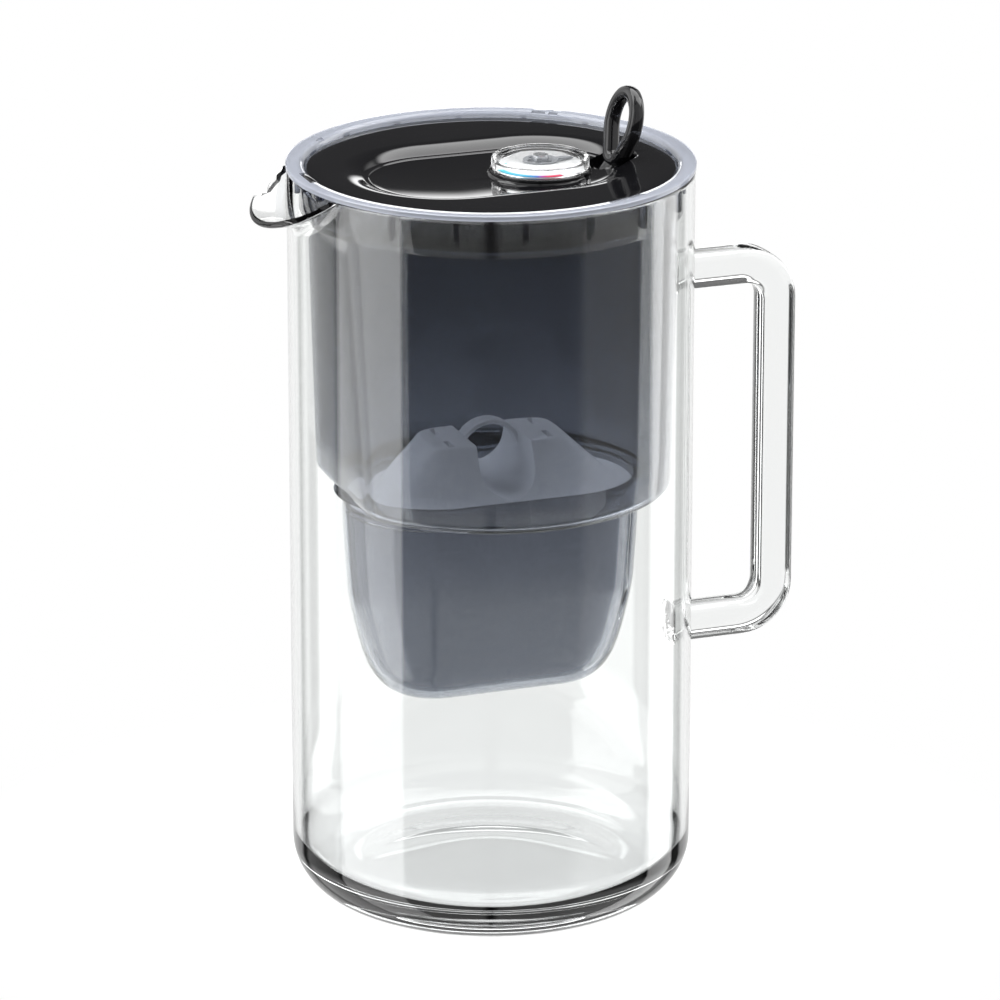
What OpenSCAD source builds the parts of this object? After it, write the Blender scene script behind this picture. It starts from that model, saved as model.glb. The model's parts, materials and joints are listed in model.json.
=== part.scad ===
// Water filter jug: a glass jug with a welded bar handle, a smoke grey hopper that hangs in its
// mouth, a filter cartridge in the hopper's cup, and a black flip lid with a finger loop and a
// turning change indicator.
// The origin is the centre of the foot on the table, +Z is up, the handle is at +X and the
// spout at -X. Millimetres.

/* [Jug] */
// Outside diameter of the glass body
jug_dia = 140; // [130:1:160]
// Height of the glass rim above the table
jug_height = 262; // [250:1:300]
// Thickness of the glass wall
glass_wall = 2.2; // [1.8:0.1:3]
// Thickness of the glass floor
floor_thick = 9; // [5:0.5:12]
// Radius of the outside bottom corner
base_corner = 18.7; // [10:0.1:24]
// Radius of the inside bottom corner
floor_corner = 14; // [8:0.5:18]

/* [Spout] */
// Radius of the spout's round lip
lip_radius = 27; // [22:0.5:30]
// How far the lip's tip stands out from the body
lip_reach = 15.5; // [10:0.5:20]
// How far the lip's tip lies under the rim
lip_drop = 12.5; // [10:0.5:15]
// Downward slope of the lip, degrees
lip_slope = 31; // [20:1:40]
// Depth of the spout's bowl under the lip
bowl_depth = 22; // [16:0.5:26]
// Radius of the bowl's inner end
bowl_end_radius = 10; // [6:0.5:14]

/* [Handle] */
// Side of the square glass bar
bar_size = 12.5; // [10:0.5:15]
// Rounding of the bar's long edges
bar_edge = 2.6; // [1:0.1:4]
// Radius of the bar's bends at its centre line
bar_bend = 12.5; // [10:0.5:20]
// Gap for the fingers between the body and the bar
finger_gap = 29.3; // [24:0.1:40]
// Height of the upper arm's centre line above the table
arm_top = 217.6; // [190:0.1:235]
// Distance between the centre lines of the two arms
arm_span = 129.4; // [100:0.1:150]

/* [Hopper] */
// Thickness of the flange that lies on the glass rim
flange_thick = 1.8; // [1.4:0.1:3]
// How far the flange stands out past the glass
flange_over = 0.35; // [0:0.05:1]
// Gap between the glass and the hopper's wall under its neck
hopper_gap = 3.6; // [2.6:0.1:6]
// How much the wall's radius shrinks towards the bottom
hopper_draft = 1.3; // [0.5:0.1:3]
// Depth from the glass rim down to the hopper's underside
hopper_depth = 113; // [90:1:125]
// Thickness of the hopper's wall and floor
hopper_wall = 1.8; // [1.4:0.1:2.4]
// Height of the neck that holds the lid
neck_height = 12; // [9:0.5:16]
// Wall thickness of the neck
neck_wall = 1.9; // [1.5:0.1:2.2]
// Depth of the channel that the flat side leaves for water on its way to the spout
flat_depth = 8.8; // [7:0.1:12]
// Number of ribs that centre the neck in the glass
rib_count = 18; // [12:2:24]

/* [Cup] */
// Half distance between the two round ends' centres of the oval cup
oval_shift = 21; // [16:0.5:24]
// Radius of the cup's round ends at its mouth
cup_radius = 32; // [28:0.5:34]
// Depth of the cup under the hopper's floor
cup_depth = 74; // [60:1:80]
// Depth of the cup's shoulder under the hopper's floor
shoulder_depth = 37; // [30:1:45]
// Radius of the drain hole
drain_radius = 3.4; // [2.5:0.1:5]

/* [Cartridge] */
// Thickness of the cartridge's plastic walls
cartridge_wall = 1.5; // [1.2:0.1:2]
// Height of the two lugs above the flange
lug_height = 19; // [14:0.5:22]
// Radius of the finger trough between the lugs
trough_radius = 10; // [8:0.5:12]
// Depth of the space for the granules
bed_depth = 52; // [40:1:56]

/* [Lid] */
// Gap between the lid's edge and the hopper's neck
lid_gap = 0.6; // [0.4:0.1:1]
// Depth of the lid's edge under the top of the flange
lid_sink = 2; // [1.8:0.1:3]
// Thickness of the lid's plastic
lid_wall = 1.8; // [1.4:0.1:2.4]
// Half width of the long recess at the lid's surface
recess_half = 34; // [30:0.5:38]
// Half distance between the recess's round ends' centres
recess_shift = 16; // [10:0.5:20]
// Depth of the recess
recess_depth = 4.4; // [3:0.1:5.5]
// Diameter of the pin that the lid turns on
pin_dia = 1.8; // [1.4:0.1:2]
// Width of the lid's hinge tongue
tongue_width = 12; // [8:1:18]
// Diameter of the screws
screw_dia = 2.4; // [2:0.1:3]

/* [Finger loop] */
// Height of the loop above its seat
loop_height = 31; // [24:0.5:40]
// Outside width of the loop
loop_width = 20; // [16:0.5:28]
// Width of the loop's band, seen from the spout
loop_band = 3.4; // [2.6:0.1:6]
// Thickness of the loop along the lid
loop_thick = 3.8; // [3:0.1:6]
// Lean of the loop towards the handle, degrees
loop_lean = 14.5; // [0:0.5:25]
// Distance from the lid's edge to the loop
loop_inset = 19.4; // [15.5:0.1:22]

/* [Indicator] */
// Radius of the clear turning cap
dial_radius = 16.8; // [12:0.1:17.5]
// Distance between the loop's axis and the indicator's axis
dial_spacing = 26; // [25.8:0.1:30]
// Height of the clear cap above its plinth
dial_height = 5.2; // [4.6:0.1:6]
// Number of notches round the cap
notch_count = 8; // [4:1:12]

/* [Hidden] */
$fn = 96;
// Facets of the pieces that are blended with hull()
blend_fn = 32;
// Extra length with which a cutter runs past a face
past = 1;
// Small step that keeps hulled slices solid
slice = 0.1;
// Radial clearance of a shaft that turns in a hole
running = 0.05;

// Glass body
jug_r = jug_dia / 2;
bore_r = jug_r - glass_wall;
arc_steps = 10;

// Spout, a cone whose wide end is the lip
lip_tip_x = -(jug_r + lip_reach);
lip_tip_z = jug_height - lip_drop;
lip_x = lip_tip_x + lip_radius * cos(lip_slope);
lip_z = lip_tip_z + lip_radius * sin(lip_slope);

// Handle
bar_x = jug_r + finger_gap + bar_size / 2;
arm_low = arm_top - arm_span;

// Hopper
flange_r = jug_r + flange_over;
flange_top = jug_height + flange_thick;
neck_outer = bore_r - 1.9;
neck_inner = neck_outer - neck_wall;
neck_floor = jug_height - neck_height;
hopper_radius = bore_r - hopper_gap;
flat_distance = bore_r - flat_depth;
ledge_thick = 2;
ledge_width = 2.6;
ledge_r = neck_inner - ledge_width;
rib_gap = 0.5;
rib_thick = 1.6;
rib_drop = 10;
rim_bevel = 1.4;
relief_width = 30;
relief_rise = 3;
relief_reach = 2.5;
// Small notches in the flange's inner edge
notch_angles = [50.5, 55.3, 135.5];
notch_width = 3;
notch_depth = 0.9;
hopper_low = jug_height - hopper_depth;
hopper_floor = hopper_low + hopper_wall;
hopper_corner = 4;
flat_tilt = 2.5;

// Cup: depth under the hopper's underside and radius of the round ends, from mouth to bottom
shoulder_r = cup_radius - 2;
cup_low = hopper_low - cup_depth;
seat_depth = 4.5;
seat_wall = 1.6;
seat_width = 1.8;
seat_thick = 2;
cup_end = cup_depth - shoulder_depth;
cup_slices = [
    [0, cup_radius],
    [shoulder_depth, shoulder_r],
    [shoulder_depth + cup_end * 0.15, shoulder_r * 0.97],
    [shoulder_depth + cup_end * 0.35, shoulder_r * 0.917],
    [shoulder_depth + cup_end * 0.55, shoulder_r * 0.845],
    [shoulder_depth + cup_end * 0.72, shoulder_r * 0.763],
    [shoulder_depth + cup_end * 0.85, shoulder_r * 0.667],
    [shoulder_depth + cup_end * 0.93, shoulder_r * 0.567],
    [shoulder_depth + cup_end * 0.98, shoulder_r * 0.457],
    [cup_depth, shoulder_r * 0.35]
];
drain_collar = 1.5;
drain_drop = 2;

// Cartridge, seated on the ledge in the cup's mouth
seat_z = hopper_low - seat_depth;
seal_thick = 0.8;
seal_fit = 0.3;
cartridge_fit = 0.5;
flange_fit = 0.5;
cap_flange = 2;
shell_inset = seat_wall + seat_width + cartridge_fit;
shell_low = cup_low + hopper_wall + cartridge_fit;
cap_z = seat_z + seal_thick;
cap_top = cap_z + cap_flange;
lug_top = cap_top + lug_height;
trough_z = cap_top + trough_radius + 1.5;
screen_thick = 0.8;
screen_fit = 0.3;
bed_low = cap_z - bed_depth - screen_thick;
lower_screen_r = 12;
outlet_pitch = 5;
outlet_width = 1.6;
outlet_length = 14;
lug_foot = 7;
lug_length = 2 * oval_shift + 6;
lug_width = 26;
slot_x = 18;
slot_y = 7.3;
slot_width = 2;
slot_length = 7;
slot_depth = 4;
arch_thick = 1.9;
arch_width = 5;

// Lid
lid_r = neck_inner - lid_gap;
lid_top = flange_top - lid_sink;
skirt_gap = 1.6;
skirt_r = neck_inner - skirt_gap;
skirt_low = neck_floor;
recess_low = lid_top - recess_depth;
recess_corner = 2;
recess_step = 0.9;
rollover = 5.6;
rollover_depth = recess_depth * 0.55;
socket_r = 8.6;
socket_floor = recess_low - 3.4;
loop_distance = lid_r - loop_inset;
dial_distance = loop_distance - dial_spacing;
loop_neck_r = 4.6;
loop_neck_rise = 7.4;
loop_foot_r = 4.6;
loop_foot_rise = 3.5;
loop_screw_reach = 4;
liner_thick = 1.2;
liner_low = skirt_low + 0.3;
liner_r = skirt_r - lid_wall - 0.2;
boss_r = 3;
boss_ring = skirt_r - lid_wall - boss_r - 1.2;
boss_angles = [40, 140, 220, 320];
screw_reach = 6;
screw_fit = 0.2;
screw_head = 1.4;
screw_head_r = screw_dia;
guide_angle = 56;
guide_width = 8;
guide_inset = 0.3;

// Hinge at the spout end of the lid, level with the lid's edge
pin_r = pin_dia / 2;
pin_x = -(neck_inner + pin_r + 0.3);
pin_z = lid_top + 0.2;
pin_length = tongue_width + 10;
knuckle_r = pin_r + 0.8;
tongue_gap = 0.3;
block_low = pin_z - knuckle_r - 1.9;

// Indicator
plinth_r = dial_radius + 0.7;
plinth_top = recess_low + 1;
base_thick = 1.1;
disc_thick = 0.6;
arc_thick = 0.25;
disc_r = dial_radius - 1.7;
cap_wall = 1;
wheel_r = 6;
wheel_thick = 0.8;
wheel_hole_r = 1.1;
wheel_hub = 1.2;
pointer_width = 2.4;
arc_width = 1.8;
arc_start = -178;
arc_sweep = 98;
pin_head = 1.4;
notch_r = 1.3;
axle_r = 1.6;
dial_top = plinth_top + dial_height;
base_top = plinth_top + base_thick;
disc_top = base_top + disc_thick;

// Points along an arc, from one angle to another
function arc_points(cx, cy, r, from, to, steps) = [
    for (i = [0:steps]) let (a = from + (to - from) * i / steps) [cx + r * cos(a), cy + r * sin(a)]
];

// Outline of a rectangle with round corners, centred
function rounded_rect(w, h, r) = concat(
    arc_points(w / 2 - r, h / 2 - r, r, 0, 90, 4),
    arc_points(-w / 2 + r, h / 2 - r, r, 90, 180, 4),
    arc_points(-w / 2 + r, -h / 2 + r, r, 180, 270, 4),
    arc_points(w / 2 - r, -h / 2 + r, r, 270, 360, 4)
);

// Flat oval of two round ends
module oval(shift, r) {
    hull() {
        for (side = [-1, 1]) {
            translate([side * shift, 0]) circle(r);
        }
    }
}

module oval_plate(shift, r, low, high) {
    translate([0, 0, low]) linear_extrude(height = high - low) oval(shift, r);
}

// Solid oval cup through the cup's slices, made smaller by inset and cut off above top
module cup_form(inset, low, top) {
    hull() {
        for (s = cup_slices, side = [-1, 1]) {
            z = max(low, hopper_low - s[0]);
            translate([side * oval_shift, 0, min(z, top - slice)])
                cylinder(h = slice, r = max(2, s[1] - inset), $fn = blend_fn);
        }
        for (side = [-1, 1]) {
            translate([side * oval_shift, 0, top - slice])
                cylinder(h = slice, r = cup_radius - inset, $fn = blend_fn);
        }
    }
}

// Cone of the spout in the lip's tilted frame; grow is negative for the inside
module spout_cone(grow) {
    translate([lip_x, 0, lip_z]) rotate([0, 180 - lip_slope, 0]) {
        cylinder(h = bowl_depth, r1 = lip_radius + grow, r2 = bowl_end_radius + grow);
    }
}

module jug_outside() {
    rotate_extrude() polygon(concat(
        [[0, jug_height + past], [0, 0]],
        arc_points(jug_r - base_corner, base_corner, base_corner, -90, 0, arc_steps),
        [[jug_r, jug_height + past]]
    ));
}

module jug_inside() {
    rotate_extrude() polygon(concat(
        [[0, jug_height + lip_radius], [0, floor_thick]],
        arc_points(bore_r - floor_corner, floor_thick + floor_corner, floor_corner, -90, 0, arc_steps),
        [[bore_r, jug_height + lip_radius]]
    ));
}

module jug_glass() {
    color([0.9, 0.94, 0.96, 0.4]) difference() {
        union() {
            jug_outside();
            spout_cone(0);
        }
        jug_inside();
        spout_cone(-glass_wall);
        // Clears the body's wall above the lip
        translate([lip_x, 0, lip_z]) rotate([0, -lip_slope, 0]) translate([0, 0, -slice])
            cylinder(h = lip_radius, r = lip_radius - glass_wall);
        // Levels the rim
        translate([0, 0, jug_height]) cylinder(h = 2 * lip_radius, r = 2 * jug_r);
    }
}

module bar_section() {
    polygon(rounded_rect(bar_size, bar_size, bar_edge));
}

// Quarter bend of the bar in the XZ plane, centred on the bend's own axis
module bar_corner(turn) {
    rotate([90, turn, 0]) rotate_extrude(angle = 90) translate([bar_bend, 0]) bar_section();
}

module handle() {
    color([0.9, 0.94, 0.96, 0.4]) difference() {
        union() {
            for (z = [arm_low, arm_top]) {
                translate([jug_r - 5, 0, z]) rotate([0, 90, 0])
                    linear_extrude(height = bar_x - bar_bend - jug_r + 5) bar_section();
            }
            translate([bar_x, 0, arm_low + bar_bend])
                linear_extrude(height = arm_span - 2 * bar_bend) bar_section();
            translate([bar_x - bar_bend, 0, arm_top - bar_bend]) bar_corner(0);
            translate([bar_x - bar_bend, 0, arm_low + bar_bend]) bar_corner(90);
        }
        translate([0, 0, arm_low - bar_size]) cylinder(h = arm_span + 2 * bar_size, r = jug_r);
    }
}

// Round form of the hopper with a flat side towards the spout; inset is the distance inside
// its outer skin, and mouth_r the radius of its top, above the ledge
module hopper_form(inset, low, mouth_r) {
    corner = max(1, hopper_corner - inset);
    low_r = hopper_radius - hopper_draft - inset;
    ledge_low = neck_floor - ledge_thick + slice;
    intersection() {
        rotate_extrude() polygon(concat(
            [[0, neck_floor + past], [0, low]],
            arc_points(low_r - corner, low + corner, corner, -90, 0, 5),
            [[hopper_radius - inset, ledge_low], [mouth_r, ledge_low], [mouth_r, neck_floor + past]]
        ));
        translate([inset - flat_distance, 0, neck_floor]) rotate([0, -flat_tilt, 0])
            translate([0, -jug_r, -2 * hopper_depth]) cube([2 * jug_dia, jug_dia, 3 * hopper_depth]);
    }
}

module hopper_ribs() {
    intersection() {
        union() {
            for (i = [1:rib_count - 1]) {
                rotate([0, 0, 180 + i * 360 / rib_count])
                    translate([neck_outer - past / 2, -rib_thick / 2, jug_height - rib_drop])
                        cube([glass_wall + past, rib_thick, rib_drop]);
            }
        }
        translate([0, 0, neck_floor]) cylinder(h = neck_height, r = bore_r - rib_gap);
    }
}

module hinge_block() {
    intersection() {
        translate([pin_x - knuckle_r - past, -pin_length / 2 - 1, block_low])
            cube([2 * knuckle_r + past, pin_length + 2, jug_height - block_low]);
        difference() {
            translate([0, 0, neck_floor]) cylinder(h = neck_height, r = bore_r - rib_gap);
            translate([0, 0, neck_floor - past]) cylinder(h = neck_height + 2 * past, r = neck_inner);
            translate([-jug_r, -tongue_width / 2 - tongue_gap, neck_floor])
                cube([jug_r, tongue_width + 2 * tongue_gap, neck_height]);
        }
    }
}

module hopper() {
    color([0.13, 0.15, 0.2, 0.75]) difference() {
        union() {
            // Flange on the glass rim
            translate([0, 0, jug_height]) cylinder(h = flange_thick, r = flange_r);
            // Neck round the lid
            translate([0, 0, neck_floor - ledge_thick])
                cylinder(h = neck_height + ledge_thick, r = neck_outer);
            hopper_ribs();
            hinge_block();
            hopper_form(0, hopper_low, ledge_r);
            cup_form(0, cup_low, hopper_low + slice);
            translate([0, 0, cup_low - drain_drop])
                cylinder(h = drain_drop + past, r = drain_radius + drain_collar);
        }
        // Room for the lid, down to the ledge that it rests on
        translate([0, 0, neck_floor]) cylinder(h = neck_height + flange_thick + past, r = neck_inner);
        translate([0, 0, flange_top - rim_bevel])
            cylinder(h = rim_bevel + slice, r1 = neck_inner, r2 = neck_inner + rim_bevel + slice);
        for (a = notch_angles) {
            rotate([0, 0, a]) translate([neck_inner - past, -notch_width / 2, flange_top - notch_depth])
                cube([neck_wall + past, notch_width, flange_thick]);
        }
        // Slanted relief under the neck, where water passes into the spout
        intersection() {
            translate([0, 0, neck_floor - ledge_thick - slice]) difference() {
                cylinder(h = relief_rise, r = jug_r);
                cylinder(h = relief_rise, r1 = neck_outer - relief_reach, r2 = neck_outer);
            }
            translate([-jug_r, -relief_width / 2, neck_floor - ledge_thick - past])
                cube([jug_r, relief_width, neck_height]);
        }
        hopper_form(hopper_wall, hopper_floor, ledge_r);
        // Mouth of the cup and the ledge under the cartridge's flange
        oval_plate(oval_shift, cup_radius - seat_wall, seat_z, hopper_floor + past);
        oval_plate(oval_shift, cup_radius - seat_wall - seat_width, seat_z - seat_thick - past, seat_z + past);
        cup_form(hopper_wall, cup_low + hopper_wall, seat_z - seat_thick);
        translate([0, 0, cup_low - drain_drop - past])
            cylinder(h = drain_drop + hopper_wall + 2 * past, r = drain_radius);
        // Notch and bore of the lid's hinge
        translate([pin_x - knuckle_r - tongue_gap, -tongue_width / 2 - tongue_gap, block_low - past])
            cube([3 * knuckle_r, tongue_width + 2 * tongue_gap, flange_top - block_low + 2 * past]);
        translate([pin_x, 0, pin_z]) rotate([90, 0, 0])
            cylinder(h = pin_length, r = pin_r, center = true);
    }
}

module hinge_pin() {
    color([0.75, 0.76, 0.78]) translate([pin_x, 0, pin_z]) rotate([90, 0, 0])
        cylinder(h = pin_length, r = pin_r, center = true);
}

// Half outline of the recess: a flat floor with a round corner, a small step, and a broad
// rounded edge that rolls over into the lid's surface
recess_edge = recess_half - rollover;
recess_profile = concat(
    [[0, recess_low]],
    arc_points(recess_edge - recess_step - recess_corner, recess_low + recess_corner, recess_corner, -90, 0, 4),
    [[recess_edge, recess_low + recess_corner]],
    [for (i = [0:7]) let (a = 90 * i / 7) [
        recess_edge + rollover * (1 - cos(a)), lid_top + slice - (rollover_depth + slice) * (1 - sin(a))
    ]]
);

// Solid of a half outline, turned round the recess's two ends and run straight between them
module long_form(profile) {
    for (side = [-1, 1]) {
        translate([side * recess_shift, 0, 0]) rotate_extrude() polygon(profile);
    }
    rotate([90, 0, 90]) linear_extrude(height = 2 * recess_shift, center = true)
        polygon(concat(profile, [for (i = [len(profile) - 1:-1:1]) [-profile[i][0], profile[i][1]]]));
}

// Hollow of the recess, open at the top
module recess_hollow() {
    long_form(concat(recess_profile, [[0, lid_top + slice]]));
}

module lid_shell_outside() {
    translate([0, 0, lid_top - lid_wall]) cylinder(h = lid_wall, r = lid_r);
    difference() {
        translate([0, 0, skirt_low]) cylinder(h = lid_top - skirt_low, r = skirt_r);
        translate([0, 0, skirt_low - past])
            cylinder(h = lid_top - lid_wall - skirt_low + past, r = skirt_r - lid_wall);
    }
    // Underside of the recess
    long_form([
        [0, recess_low - lid_wall],
        [recess_edge - recess_step, recess_low - lid_wall],
        [recess_edge + lid_wall, recess_low],
        [recess_half + lid_wall, lid_top - lid_wall / 2],
        [0, lid_top - lid_wall / 2]
    ]);
    // Plinth's and socket's undersides
    translate([loop_distance, 0, socket_floor - lid_wall])
        cylinder(h = lid_top - socket_floor, r = socket_r + lid_wall);
    for (a = boss_angles) {
        rotate([0, 0, a]) translate([boss_ring, 0, liner_low + liner_thick])
            cylinder(h = lid_top - liner_low - liner_thick - lid_wall / 2, r = boss_r);
    }
    for (a = [guide_angle, 180 - guide_angle, 180 + guide_angle, 360 - guide_angle]) {
        rotate([0, 0, a]) intersection() {
            translate([skirt_r - lid_wall / 2, -guide_width / 2, skirt_low])
                cube([past + lid_wall, guide_width, lid_top - skirt_low - lid_wall / 2]);
            translate([0, 0, skirt_low]) cylinder(h = lid_top - skirt_low, r = lid_r - guide_inset);
        }
    }
}

module lid_cover() {
    color([0.05, 0.05, 0.06]) difference() {
        union() {
            difference() {
                lid_shell_outside();
                recess_hollow();
            }
            translate([dial_distance, 0, recess_low - lid_wall / 2])
                cylinder(h = plinth_top - recess_low + lid_wall / 2, r = plinth_r);
            // Hinge tongue and its knuckle
            translate([pin_x, -tongue_width / 2, pin_z - knuckle_r])
                cube([knuckle_r + lid_wall + 1, tongue_width, lid_top - pin_z + knuckle_r]);
            translate([pin_x, 0, pin_z]) rotate([90, 0, 0])
                cylinder(h = tongue_width, r = knuckle_r, center = true);
        }
        translate([loop_distance, 0, socket_floor]) cylinder(h = lid_top, r = socket_r);
        translate([loop_distance, 0, skirt_low]) cylinder(h = lid_top, r = screw_dia / 2 + screw_fit);
        translate([dial_distance, 0, skirt_low]) cylinder(h = lid_top, r = axle_r);
        translate([pin_x, 0, pin_z]) rotate([90, 0, 0])
            cylinder(h = tongue_width + 2 * past, r = pin_r + running, center = true);
        for (a = boss_angles) {
            rotate([0, 0, a]) translate([boss_ring, 0, skirt_low])
                cylinder(h = lid_top - lid_wall - skirt_low - 1, r = screw_dia / 2);
        }
    }
}

module lid_liner() {
    color([0.09, 0.09, 0.1]) difference() {
        translate([0, 0, liner_low]) cylinder(h = liner_thick, r = liner_r);
        for (a = boss_angles) {
            rotate([0, 0, a]) translate([boss_ring, 0, liner_low - past])
                cylinder(h = liner_thick + 2 * past, r = screw_dia / 2 + screw_fit);
        }
        translate([loop_distance, 0, liner_low - past])
            cylinder(h = liner_thick + 2 * past, r = screw_dia / 2 + screw_fit);
    }
}

// Screw with a round head under the liner
module screw(reach) {
    translate([0, 0, liner_low - screw_head]) cylinder(h = screw_head, r = screw_head_r);
    translate([0, 0, liner_low - slice]) cylinder(h = reach + slice, r = screw_dia / 2);
}

module liner_screws() {
    color([0.7, 0.71, 0.73]) for (a = boss_angles) {
        rotate([0, 0, a]) translate([boss_ring, 0, 0]) screw(screw_reach);
    }
}

module loop_screw() {
    color([0.7, 0.71, 0.73]) translate([loop_distance, 0, 0])
        screw(socket_floor + loop_screw_reach - liner_low);
}

// Outline of the loop: a round top that narrows to its neck, with a long hole
module loop_outline() {
    top_r = loop_width / 2;
    difference() {
        union() {
            hull() {
                translate([0, loop_height - top_r]) circle(top_r, $fn = 64);
                translate([0, loop_neck_rise]) circle(loop_neck_r, $fn = 32);
            }
            translate([-loop_neck_r, 0]) square([2 * loop_neck_r, loop_neck_rise]);
        }
        hull() {
            translate([0, loop_height - top_r]) circle(top_r - loop_band, $fn = 64);
            translate([0, loop_neck_rise]) circle(loop_neck_r - loop_band, $fn = 32);
        }
    }
}

module finger_loop() {
    color([0.05, 0.05, 0.06]) difference() {
        union() {
            translate([loop_distance, 0, socket_floor + 1]) rotate([0, loop_lean, 0])
                rotate([90, 0, 90]) linear_extrude(height = loop_thick, center = true) loop_outline();
            translate([loop_distance, 0, socket_floor])
                cylinder(h = loop_foot_rise, r1 = loop_foot_r, r2 = loop_foot_r * 0.7);
        }
        translate([loop_distance, 0, socket_floor - past])
            cylinder(h = loop_screw_reach + past, r = screw_dia / 2);
        translate([0, 0, socket_floor - 2 * past]) cylinder(h = 2 * past, r = lid_r);
    }
}

module dial_base() {
    color([0.05, 0.05, 0.06]) translate([dial_distance, 0, plinth_top]) difference() {
        cylinder(h = base_thick, r = dial_radius - 0.2);
        translate([0, 0, -past]) cylinder(h = base_thick + 2 * past, r = axle_r);
    }
}

module scale_disc() {
    color([0.95, 0.95, 0.95]) translate([dial_distance, 0, base_top]) difference() {
        cylinder(h = disc_thick, r = disc_r);
        translate([0, 0, -past]) cylinder(h = disc_thick + 2 * past, r = axle_r);
    }
}

module scale_arc() {
    color([0.1, 0.7, 0.9]) translate([dial_distance, 0, disc_top]) rotate([0, 0, arc_start])
        rotate_extrude(angle = arc_sweep) translate([disc_r - arc_width - 2 * slice, 0])
            square([arc_width, arc_thick]);
}

module pointer_wheel() {
    wheel_low = disc_top + arc_thick + 0.35;
    color([0.75, 0.76, 0.78]) translate([dial_distance, 0, wheel_low]) difference() {
        union() {
            cylinder(h = wheel_thick, r = wheel_r);
            translate([0, -pointer_width / 2, 0]) cube([disc_r - arc_width - wheel_hub, pointer_width, wheel_thick]);
            cylinder(h = dial_top - cap_wall - wheel_low, r = axle_r + wheel_hub);
        }
        translate([0, 0, -past]) cylinder(h = dial_height, r = axle_r + running);
        for (a = [60:60:300]) {
            rotate([0, 0, a]) translate([wheel_r * 0.62, 0, -past])
                cylinder(h = wheel_thick + 2 * past, r = wheel_hole_r);
        }
    }
}

module dial_cap() {
    color([0.9, 0.95, 1, 0.35]) translate([dial_distance, 0, 0]) difference() {
        translate([0, 0, base_top + 0.3]) cylinder(h = dial_top - base_top - 0.3, r = dial_radius);
        translate([0, 0, base_top]) cylinder(h = dial_top - base_top - cap_wall, r = dial_radius - cap_wall);
        translate([0, 0, base_top]) cylinder(h = dial_height, r = axle_r + running);
        for (i = [0:notch_count - 1]) {
            rotate([0, 0, (i + 0.5) * 360 / notch_count]) translate([dial_radius + notch_r / 2, 0, base_top])
                cylinder(h = dial_height, r = notch_r);
        }
    }
}

module dial_pin() {
    color([0.85, 0.86, 0.88]) translate([dial_distance, 0, 0]) {
        translate([0, 0, recess_low - lid_wall]) cylinder(h = dial_top - recess_low + lid_wall, r = axle_r);
        translate([0, 0, recess_low - lid_wall - 1]) cylinder(h = 1, r = axle_r + pin_head);
        translate([0, 0, dial_top]) cylinder(h = 0.5, r = axle_r + 1);
    }
}

module cartridge_shell() {
    color([0.62, 0.66, 0.7, 0.9]) difference() {
        cup_form(shell_inset, shell_low, cap_z);
        cup_form(shell_inset + cartridge_wall, shell_low + cartridge_wall, cap_z + past);
        // Outlet slots
        for (i = [-2:2]) {
            translate([i * outlet_pitch - outlet_width / 2, -outlet_length / 2, shell_low - past])
                cube([outlet_width, outlet_length, cartridge_wall + 2 * past]);
        }
    }
}

// Solid form of the cap's two lugs before the trough is cut
module lug_form(inset) {
    hull() {
        translate([0, 0, cap_z]) linear_extrude(height = cap_flange)
            oval(oval_shift, cup_radius - seat_wall - lug_foot - inset, $fn = blend_fn);
        translate([inset - lug_length / 2, inset - lug_width / 2, lug_top - inset - slice])
            cube([lug_length - 2 * inset, lug_width - 2 * inset, slice]);
    }
}

module trough_cut(grow, depth) {
    translate([0, 0, trough_z]) rotate([90, 0, 0])
        cylinder(h = depth, r = trough_radius + grow, center = true);
    translate([-trough_radius - grow, -depth / 2, trough_z])
        cube([2 * (trough_radius + grow), depth, lug_height]);
}

module cartridge_cap() {
    cap_r = cup_radius - seat_wall - flange_fit;
    color([0.72, 0.75, 0.78, 0.9]) {
        difference() {
            union() {
                oval_plate(oval_shift, cap_r, cap_z, cap_top);
                difference() {
                    lug_form(0);
                    trough_cut(0, 4 * cup_radius);
                }
            }
            difference() {
                lug_form(cartridge_wall);
                trough_cut(cartridge_wall, 4 * cup_radius);
            }
            for (x = [-slot_x, slot_x], y = [-slot_y, slot_y]) {
                translate([x - slot_width / 2, y - slot_length / 2, lug_top - slot_depth])
                    cube([slot_width, slot_length, slot_depth + past]);
            }
        }
        // Carrying loop over the trough
        translate([0, arch_width, trough_z]) rotate([90, 0, 0]) difference() {
            cylinder(h = arch_width, r = trough_radius + arch_thick);
            translate([0, 0, -past]) cylinder(h = arch_width + 2 * past, r = trough_radius);
            translate([-2 * trough_radius, -2 * trough_radius, -past])
                cube([4 * trough_radius, 2 * trough_radius, arch_width + 2 * past]);
        }
    }
}

module cartridge_seal() {
    color([0.85, 0.86, 0.87]) difference() {
        oval_plate(oval_shift, cup_radius - seat_wall - flange_fit - 0.2, seat_z, cap_z);
        oval_plate(oval_shift, cup_radius - shell_inset + seal_fit, seat_z - past, cap_z + past);
    }
}

module upper_screen() {
    color([0.9, 0.9, 0.88])
        oval_plate(oval_shift, cup_radius - shell_inset - cartridge_wall - screen_fit, cap_z - screen_thick, cap_z);
}

module filter_bed() {
    color([0.25, 0.22, 0.2])
        cup_form(shell_inset + cartridge_wall + screen_fit, bed_low + screen_thick, cap_z - screen_thick);
}

module lower_screen() {
    color([0.9, 0.9, 0.88]) oval_plate(oval_shift, lower_screen_r, bed_low, bed_low + screen_thick);
}

jug_glass();
handle();
hopper();
hinge_pin();
lid_cover();
lid_liner();
liner_screws();
finger_loop();
loop_screw();
dial_base();
scale_disc();
scale_arc();
pointer_wheel();
dial_cap();
dial_pin();
cartridge_shell();
cartridge_cap();
cartridge_seal();
upper_screen();
filter_bed();
lower_screen();
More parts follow.
